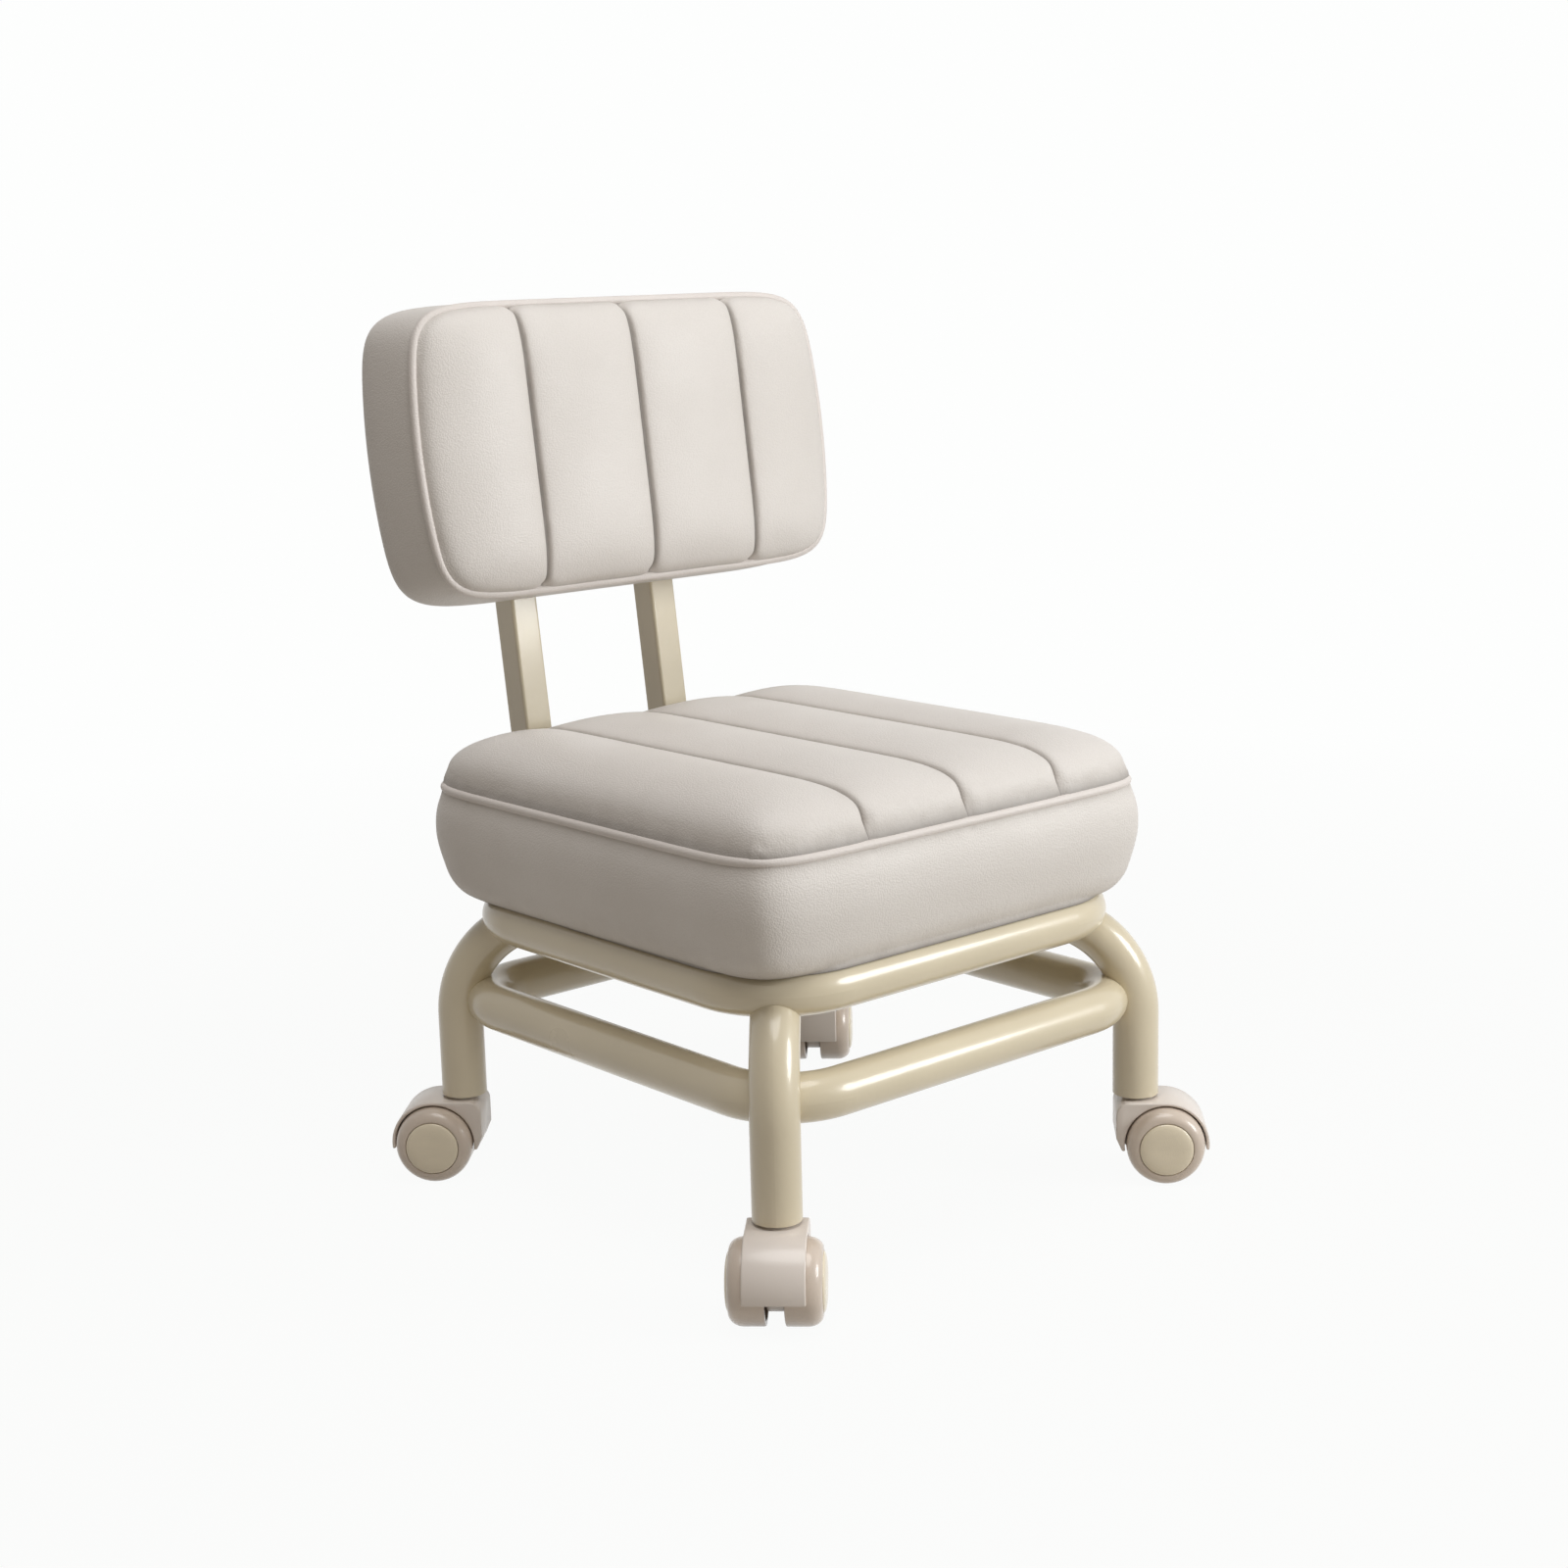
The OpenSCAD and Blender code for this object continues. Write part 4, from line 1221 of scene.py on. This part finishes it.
@dataclass
class Casters(Bench):
    """The four twin-wheel casters: bodies, wheels and caps."""

    span: Pair = (295 * MM, 300 * MM)
    trail: float = 17.5 * MM
    wheel_r: float = 24 * MM
    hood_in_r: float = 25 * MM
    hood_r: float = 27 * MM
    hood_w: float = 34.6 * MM
    web_t: float = 9.6 * MM
    boss_r: float = 16 * MM
    droop: float = 7.0
    nose_reach: float = 12.7 * MM
    nose_r: float = 8 * MM
    nose_low_z: float = 28.08 * MM
    nose_foot_z: float = 19.92 * MM
    nose_foot_t: float = 2 * MM
    wheel_in: float = 5.3 * MM
    tread_end: float = 17.3 * MM
    wheel_end: float = 25.7 * MM
    cap_floor: float = 23.1 * MM
    cap_r: float = 16.5 * MM
    cap_rise: float = 2 * MM
    cap_lip: float = 1 * MM
    wheel_wall: float = 3 * MM
    hub_r: float = 7.5 * MM
    bore_r: float = 3.05 * MM
    rivet_r: float = 4.7 * MM
    rivet_z: float = 21.5 * MM
    edge_r: float = 0.9 * MM
    web_edge_r: float = 0.4 * MM
    web_in: float = 0.6 * MM
    web_back: float = 186.0
    pin_hole_r: float = 3.55 * MM
    axle_hole_r: float = 3 * MM
    drill_l: float = 42 * MM
    bore_edge: float = 0.2 * MM
    hub_edge: float = 0.4 * MM
    fillet: float = 0.8 * MM
    seat_edge: float = 0.35 * MM
    cap_play: float = 0.2 * MM
    cap_gap: float = 0.15 * MM
    cap_edge: float = 0.3 * MM
    dome_steps: int = 10
    cap_steps: int = 12
    spin_steps: int = 96

    def build(self) -> None:
        """Builds the casters at the four corners."""
        for corner in Corner:
            place = self.at_corner(corner)
            self.piece(
                self.body(place),
                f"caster_shell_{corner.label}",
                CASTER_PLASTIC,
                "caster_plastic",
                f"caster_{corner.label}",
                (f"caster_body_{corner.label}",),
            )
            for twin, side in TWINS.items():
                at_axle = place @ Matrix.Translation((self.trail, 0, self.wheel_r))
                at_axle = at_axle @ Matrix.Rotation(math.radians(-90 * side), 4, "X")
                body = f"wheel_{corner.label}_{twin}"
                self.piece(
                    self.turned(self.wheel_section(), at_axle),
                    f"twin_wheel_{corner.label}_{twin}",
                    SHADED_WHEEL_PLASTIC,
                    "caster_plastic",
                    body,
                    (f"wheel_{corner.label}_{twin}",),
                )
                self.piece(
                    self.turned(self.cap_section(), at_axle),
                    f"wheel_cap_{corner.label}_{twin}",
                    CREAM_CAP,
                    "cap_plastic",
                    body,
                    (f"cap_{corner.label}_{twin}",),
                )

    def at_corner(self, corner: Corner) -> Matrix:
        """The caster's place at a corner, with its +X outward along the corner's diagonal.

        Args:
            corner: The corner.

        Returns:
            The matrix that puts a caster there.
        """
        across, along = corner.value
        place = Matrix.Translation((across * self.span[0] / 2, along * self.span[1] / 2, 0))
        return place @ Matrix.Rotation(math.atan2(along, across), 4, "Z")

    def hood_outline(self) -> list[Pair]:
        """The hood's section, seen from its side: x outward, y up.

        Returns:
            The section's points, in metres.
        """
        centre = (self.trail, self.wheel_r)
        top = self.wheel_r + self.hood_r
        drop = self.wheel_r - self.nose_foot_z
        foot_x = self.trail - math.sqrt(self.hood_in_r**2 - drop**2)
        low = math.degrees(math.atan2(-drop, foot_x - self.trail)) % 360
        line = arc(centre, self.hood_r, -self.droop, 90, 30)
        line += arc((self.nose_r - self.nose_reach, top - self.nose_r), self.nose_r, 90, 180, 10)
        line += [(-self.nose_reach, self.nose_low_z), (foot_x - self.nose_foot_t, self.nose_foot_z)]
        line += arc(centre, self.hood_in_r, low, -self.droop, 58)
        return line

    def web_outline(self) -> list[Pair]:
        """The central web's section, from just inside the hood down to the boss of the axle.

        Returns:
            The section's points, in metres.
        """
        centre = (self.trail, self.wheel_r)
        inside = self.hood_in_r + self.web_in
        back = math.radians(self.web_back - 180)
        drop = self.wheel_r - self.nose_foot_z
        low = 180 + math.degrees(math.asin(drop / self.boss_r))
        line = arc(centre, inside, -self.droop, self.web_back, 50)
        line += [(self.trail - inside * math.cos(back), self.nose_foot_z)]
        line += arc(centre, self.boss_r, low, 360 - self.droop, 36)
        return line

    def slab(self, outline: list[Pair], width: float, rounding: float) -> bmesh.types.BMesh:
        """A plate of an outline, centred across, with its outline's edges rounded.

        Args:
            outline: The outline, x outward and y up.
            width: The plate's width.
            rounding: Radius of its edges.

        Returns:
            The plate.
        """
        bm = bmesh.new()
        wire(bm, [Vector((x, -width / 2, z)) for x, z in outline])
        face = bmesh.ops.contextual_create(bm, geom=bm.edges[:])["faces"][0]
        top = bmesh.ops.extrude_face_region(bm, geom=[face])["geom"]
        far = [v for v in top if isinstance(v, bmesh.types.BMVert)]
        bmesh.ops.translate(bm, vec=(0, width, 0), verts=far)
        bmesh.ops.recalc_face_normals(bm, faces=bm.faces)
        edges = [e for e in bm.edges if len({round(v.co.y, 6) for v in e.verts}) == 1]
        corners = [e for e in bm.edges if e not in edges and e.calc_face_angle(0) > math.radians(30)]
        bmesh.ops.bevel(
            bm,
            geom=edges + corners,
            offset=rounding,
            offset_type="OFFSET",
            segments=3,
            profile=0.5,
            affect="EDGES",
            clamp_overlap=True,
            material=-1,
        )
        return bm

    def body(self, place: Matrix) -> bmesh.types.BMesh:
        """The caster's body: its hood and its web, cut for the swivel pin and the axle.

        Args:
            place: The caster's place.

        Returns:
            The body in its place.
        """
        hood = self.draft(self.slab(self.hood_outline(), self.hood_w, self.edge_r))
        web = self.draft(self.slab(self.web_outline(), self.web_t, self.web_edge_r))
        over = Matrix.Translation((0, 0, self.wheel_r + self.hood_r))
        at_axle = Matrix.Translation((self.trail, 0, self.wheel_r)) @ Matrix.Rotation(math.pi / 2, 4, "X")
        cutters = [(web, "UNION")]
        for radius, turn in ((self.pin_hole_r, over), (self.axle_hole_r, at_axle)):
            cutters.append((self.draft(self.drill(radius, turn)), "DIFFERENCE"))
        for other, operation in cutters:
            step = hood.modifiers.new(operation.lower(), "BOOLEAN")
            step.operation, step.object, step.solver = operation, other, "EXACT"
        bm = bmesh.new()
        bm.from_mesh(hood.evaluated_get(bpy.context.evaluated_depsgraph_get()).data)
        for done in [hood] + [other for other, _ in cutters]:
            bpy.data.objects.remove(done)
        bmesh.ops.transform(bm, matrix=place, verts=bm.verts)
        return bm

    def drill(self, radius: float, place: Matrix) -> bmesh.types.BMesh:
        """A round rod that cuts a hole.

        Args:
            radius: The hole's radius.
            place: The place of the hole's middle, with its +Z along the hole.

        Returns:
            The rod in its place.
        """
        bm = bmesh.new()
        bmesh.ops.create_cone(
            bm, cap_ends=True, segments=48, radius1=radius, radius2=radius, depth=self.drill_l
        )
        bmesh.ops.transform(bm, matrix=place, verts=bm.verts)
        return bm

    @staticmethod
    def draft(bm: bmesh.types.BMesh) -> bpy.types.Object:
        """Makes a working object of a bmesh, to be removed after use.

        Args:
            bm: The shape; it is freed.

        Returns:
            The working object.
        """
        mesh = bpy.data.meshes.new("draft")
        bm.to_mesh(mesh)
        bm.free()
        made = bpy.data.objects.new("draft", mesh)
        bpy.context.scene.collection.objects.link(made)
        return made

    def wheel_section(self) -> list[tuple[float, float, float]]:
        """A wheel's section: radius, distance along the axle, and the rounding of that corner.

        Returns:
            The section's corners, in metres.
        """
        rim = self.wheel_r - self.wheel_wall
        dome_r = self.cap_r + self.cap_lip
        hollow = self.cap_floor - self.wheel_wall
        width, bulge = self.wheel_r - dome_r, self.wheel_end - self.tread_end
        turns = [math.radians(90 * k / self.dome_steps) for k in range(self.dome_steps + 1)]
        dome = [(dome_r + width * math.cos(a), self.tread_end + bulge * math.sin(a), 0.0) for a in turns]
        seat_r = self.cap_r + self.cap_play
        return [
            (self.bore_r, self.wheel_in, self.bore_edge),
            (self.hub_r, self.wheel_in, self.hub_edge),
            (self.hub_r, hollow, self.fillet),
            (rim - self.fillet, hollow, self.fillet),
            (rim, self.tread_end, self.fillet),
            (rim, self.wheel_in, self.hub_edge),
            (self.wheel_r, self.wheel_in, self.edge_r),
            *dome,
            (seat_r, self.wheel_end, self.seat_edge),
            (seat_r, self.cap_floor, 0.0),
            (self.rivet_r, self.cap_floor, 0.0),
            (self.rivet_r, self.rivet_z, 0.0),
            (self.bore_r, self.rivet_z, self.bore_edge),
        ]

    def cap_section(self) -> list[tuple[float, float, float]]:
        """A cap's section, from the middle of its back to the middle of its front.

        Returns:
            The section's corners, in metres, as for a wheel.
        """
        edge = self.cap_r - self.cap_gap
        turns = [math.radians(90 * k / self.cap_steps) for k in range(self.cap_steps)]
        foot, rise = self.wheel_end, self.cap_rise
        crown = [(edge * math.cos(a) ** 0.5, foot + rise * math.sin(a), 0.0) for a in turns]
        return [
            (0.0, self.cap_floor, 0.0),
            (edge, self.cap_floor, self.cap_edge),
            *crown,
            (0.0, foot + rise, 0.0),
        ]

    def turned(self, section: list[tuple[float, float, float]], place: Matrix) -> bmesh.types.BMesh:
        """Turns a section round the axle's line.

        Args:
            section: The section, closed unless it starts and ends on the axis.
            place: The place of the axle's line, with +Z along it.

        Returns:
            The turned solid in its place.
        """
        on_axis = section[0][0] == 0.0
        bm = bmesh.new()
        edges = wire(bm, [Vector((r, 0, z)) for r, z, _ in section], closed=not on_axis)
        bm.verts.ensure_lookup_table()
        rounded: dict[float, list[bmesh.types.BMVert]] = {}
        for vert, (_, _, rounding) in zip(bm.verts[:], section):
            if rounding:
                rounded.setdefault(rounding, []).append(vert)
        for rounding, verts in rounded.items():
            bmesh.ops.bevel(
                bm,
                geom=verts,
                offset=rounding,
                offset_type="OFFSET",
                segments=3,
                profile=0.5,
                affect="VERTICES",
                material=-1,
            )
        bmesh.ops.spin(
            bm,
            geom=bm.verts[:] + bm.edges[:],
            cent=(0, 0, 0),
            axis=(0, 0, 1),
            angle=2 * math.pi,
            steps=self.spin_steps,
            use_merge=True,
            use_duplicate=False,
        )
        bmesh.ops.remove_doubles(bm, verts=bm.verts, dist=0.005 * MM)
        bmesh.ops.recalc_face_normals(bm, faces=bm.faces)
        bmesh.ops.transform(bm, matrix=place, verts=bm.verts)
        return bm


# Frame and under-cloth


@dataclass
class TubeFrame(Bench):
    """The welded frame, its fasteners and the boards: CAD nodes that stay, with their finishes."""

    def build(self) -> None:
        """Gives every CAD node that stays in view its finish."""
        frame_nodes = ["upper_ring", "lower_ring", "post_left", "post_right"]
        frame_nodes += ["seat_rail_front", "seat_rail_rear"] + [f"leg_{c.label}" for c in Corner]
        self.dress(CREAM_ENAMEL, *frame_nodes)
        self.dress(ZINC, "seat_screws", "seat_tee_nuts", "back_screws", "back_washers", "back_tee_nuts")
        self.dress(ZINC, *[f"{kind}_{c.label}" for kind in ("stem", "axle") for c in Corner])
        self.dress(SOCKET_NYLON, "post_plug_left", "post_plug_right")
        self.dress(SOCKET_NYLON, *[f"socket_{c.label}" for c in Corner])
        self.dress(BIRCH, "seat_board", "back_board")


@dataclass
class UnderCloth(Bench):
    """The dust cloth, stretched flat under the seat's board."""

    outline: Plate = Plate((125.5 * MM, 128 * MM), 33 * MM, 6 * MM)
    low_z: float = 185.5 * MM
    thickness: float = 0.4 * MM
    lift: float = 0.45 * MM
    sag: float = 0.25 * MM
    sag_spans: Pair = (0.05, 0.035)
    steps: int = 48

    def build(self) -> None:
        bm = bmesh.new()
        bmesh.ops.create_grid(bm, x_segments=self.steps, y_segments=self.steps, size=1.0)
        for vert in bm.verts:
            m = max(abs(vert.co.x), abs(vert.co.y), 1e-9)
            edge = Vector(self.outline.edge(vert.co.x / m, vert.co.y / m))
            point = edge * m + Vector((0, self.outline.shift * (1 - m)))
            spans = [c / span for c, span in zip(point, self.sag_spans)]
            wave = noise.noise(Vector((*spans, 2.0))) * self.sag
            vert.co = (*point, self.low_z + self.lift + wave * (1 - m**4))
        bmesh.ops.recalc_face_normals(bm, faces=bm.faces)
        if bm.faces[:][0].normal.z > 0:
            bmesh.ops.reverse_faces(bm, faces=bm.faces)
        cloth = self.piece(
            bm, "under_cloth_sheet", UNDER_CLOTH, "dust_cloth", "frame", ("seat_dust_cloth",), None
        )
        wall = cloth.modifiers.new("thickness", "SOLIDIFY")
        wall.thickness, wall.offset = self.thickness, -1.0


# Studio


@dataclass(frozen=True)
class SoftLight:
    """One soft box of the studio."""

    name: str
    place: tuple[float, float, float]
    width: float
    power: float
    colour: tuple[float, float, float] = (1.0, 1.0, 1.0)


@dataclass
class Studio:
    """Camera, floor, soft boxes and the pale surround."""

    azimuth: float = -41.06
    elevation: float = 11.97
    roll: float = -1.42
    eye: tuple[float, float, float] = (-0.97926, -1.11926, 0.56497)
    focal: float = 2543.94
    picture: float = 1600.0
    sensor: float = 36.0
    floor_half: float = 6.0
    paper: Colour = (0.985, 0.99, 0.985, 1.0)
    surround: float = 0.155
    warmth: Colour = (1.0, 0.86, 0.72, 1.0)
    ground: Colour = (0.62, 0.59, 0.54, 1.0)
    near_floor: float = 0.96
    fade_from: float = 0.55
    fade_to: float = 1.5
    target: tuple[float, float, float] = (0.0, 0.0, 0.25)
    lights: tuple[SoftLight, ...] = (
        SoftLight("key", (1.2, -1.85, 0.95), 1.0, 31.0, (0.96, 0.985, 1.0)),
        SoftLight("overhead", (-0.3, -0.5, 2.25), 1.5, 23.0),
    )

    def build(self) -> None:
        """Sets up the camera, the floor and the light."""
        self.camera()
        self.floor()
        self.surroundings()
        for light in self.lights:
            self.soft_box(light)
        bpy.context.scene.view_settings.view_transform = "Standard"

    def camera(self) -> None:
        """Puts the camera where the photograph was taken from."""
        a, e, r = (math.radians(d) for d in (self.azimuth, self.elevation, self.roll))
        back = Vector((math.sin(a) * math.cos(e), -math.cos(a) * math.cos(e), math.sin(e)))
        right = Vector((math.cos(a), math.sin(a), 0))
        up = back.cross(right)
        side = right * math.cos(r) + up * math.sin(r)
        top = up * math.cos(r) - right * math.sin(r)
        data = bpy.data.cameras.new("camera")
        data.sensor_width = self.sensor
        data.lens = self.focal * self.sensor / self.picture
        data.clip_start, data.clip_end = 0.01, 60
        camera = bpy.data.objects.new("camera", data)
        turn = Matrix((side, top, back)).transposed().to_4x4()
        camera.matrix_world = Matrix.Translation(self.eye) @ turn
        bpy.context.scene.collection.objects.link(camera)
        bpy.context.scene.camera = camera

    def pale(self, graph: Graph) -> Sock:
        """1 for the rays that show the backdrop itself: camera, glossy and transmission rays.

        Args:
            graph: The backdrop's tree.

        Returns:
            The socket that is 1 for those rays and 0 for the others.
        """
        path = {
            name: graph.add("ShaderNodeLightPath", None, None, name)
            for name in ("Is Camera Ray", "Is Glossy Ray", "Is Transmission Ray")
        }
        total = path["Is Camera Ray"] + path["Is Glossy Ray"] + path["Is Transmission Ray"]
        return graph.add("ShaderNodeMath", {"operation": "MINIMUM"}, {0: total, 1: 1.0})

    def floor(self) -> None:
        """Lays a plain pale floor that keeps the stool's shadow."""
        bm = bmesh.new()
        bmesh.ops.create_grid(bm, x_segments=1, y_segments=1, size=self.floor_half)
        mesh = bpy.data.meshes.new("floor")
        bm.to_mesh(mesh)
        bm.free()
        material = bpy.data.materials.new("pale_floor")
        material.use_nodes = True
        graph = Graph(material.node_tree)
        lit = graph.add("ShaderNodeBsdfDiffuse", None, {"Color": self.ground})
        bright = graph.add("ShaderNodeEmission", None, {"Color": self.paper, "Strength": 1.0})
        far = graph.add("ShaderNodeVectorMath", {"operation": "LENGTH"}, {0: graph.place()}, "Value")
        share = graph.ramp(far, self.fade_from, self.fade_to, self.near_floor, 1.0)
        mixed = graph.add("ShaderNodeMixShader", None, {0: self.pale(graph) * share, 1: lit, 2: bright})
        graph.surface(mixed)
        mesh.materials.append(material)
        floor = bpy.data.objects.new("floor", mesh)
        bpy.context.scene.collection.objects.link(floor)

    def surroundings(self) -> None:
        """Lights the scene evenly, and shows the camera a white surround."""
        world = bpy.data.worlds.new("surround")
        world.use_nodes = True
        bpy.context.scene.world = world
        graph = Graph(world.node_tree)
        even = graph.add("ShaderNodeBackground", None, {"Color": self.warmth, "Strength": self.surround})
        white = graph.add("ShaderNodeBackground", None, {"Color": self.paper, "Strength": 1.0})
        mixed = graph.add("ShaderNodeMixShader", None, {0: self.pale(graph), 1: even, 2: white})
        graph.add("ShaderNodeOutputWorld", None, {"Surface": mixed})

    def soft_box(self, light: SoftLight) -> None:
        """Hangs one soft box, turned to the stool.

        Args:
            light: The soft box.
        """
        data = bpy.data.lights.new(light.name, "AREA")
        data.shape = "DISK"
        data.size = light.width
        data.energy = light.power
        data.color = light.colour
        lamp = bpy.data.objects.new(light.name, data)
        aim = Vector(self.target) - Vector(light.place)
        lamp.rotation_euler = aim.to_track_quat("-Z", "Y").to_euler()
        lamp.location = light.place
        bpy.context.scene.collection.objects.link(lamp)


# The stool


SEAT = PadShape(
    half=(158.5 * MM, 161 * MM),
    bow=0.0,
    rise=33.5 * MM,
    crown_powers=(8.6, 2.5),
    pitch=77 * MM,
    groove=7.5 * MM,
    side=(
        (-14.07 * MM, 3.69 * MM),
        (-26.8 * MM, 4.5 * MM),
        (-36.85 * MM, 3.465 * MM),
        (-46.9 * MM, 1.35 * MM),
        (-54.94 * MM, -0.7 * MM),
        (-60.97 * MM, -3.6 * MM),
        (-64.99 * MM, -6.8 * MM),
        (-67 * MM, -10 * MM),
    ),
    board=Plate((125.5 * MM, 128 * MM), 33 * MM),
    bay=Plate((149.1 * MM, 149.6 * MM), 58.1 * MM, -6 * MM),
    bay_depth=3.5 * MM,
    pocket=13 * MM,
    place=Matrix.Translation((0, 6 * MM, 249.5 * MM)),
)

BACK = PadShape(
    half=(152 * MM, 88.25 * MM),
    bow=9 * MM,
    rise=19.5 * MM,
    crown_powers=(6.0, 2.0),
    pitch=84 * MM,
    groove=7 * MM,
    side=(
        (-11.5 * MM, 2.025 * MM),
        (-28.75 * MM, 4.05 * MM),
        (-44.275 * MM, 4.5 * MM),
        (-53.475 * MM, 0.82 * MM),
        (-57.5 * MM, -7 * MM),
    ),
    board=Plate((138 * MM, 74.25 * MM), 14 * MM),
    place=Matrix.Translation((0, 165.547 * MM, 171.5 * MM))
    @ Matrix.Rotation(math.radians(-7.5), 4, "X")
    @ Matrix.Translation((0, -57.5 * MM, 276.5 * MM))
    @ Matrix.Rotation(math.radians(90), 4, "X"),
    steps_along=56,
)


def main() -> None:
    """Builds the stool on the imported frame, then the studio."""
    logging.basicConfig(level=logging.INFO, format="%(name)s: %(message)s")
    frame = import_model()
    TubeFrame(frame).build()
    UnderCloth(frame).build()
    Pad(frame, SEAT, "seat_pad", ("seat_cushion", "seat_foam"), 0.8, 4 * MM, 0.3 * MM).build()
    Pad(frame, BACK, "back_pad", ("back_cushion", "back_foam"), 0.75, 3.5 * MM, 0.4 * MM).build()
    Casters(frame).build()
    Studio().build()
    bpy.context.view_layer.update()


if __name__ == "__main__":
    main()
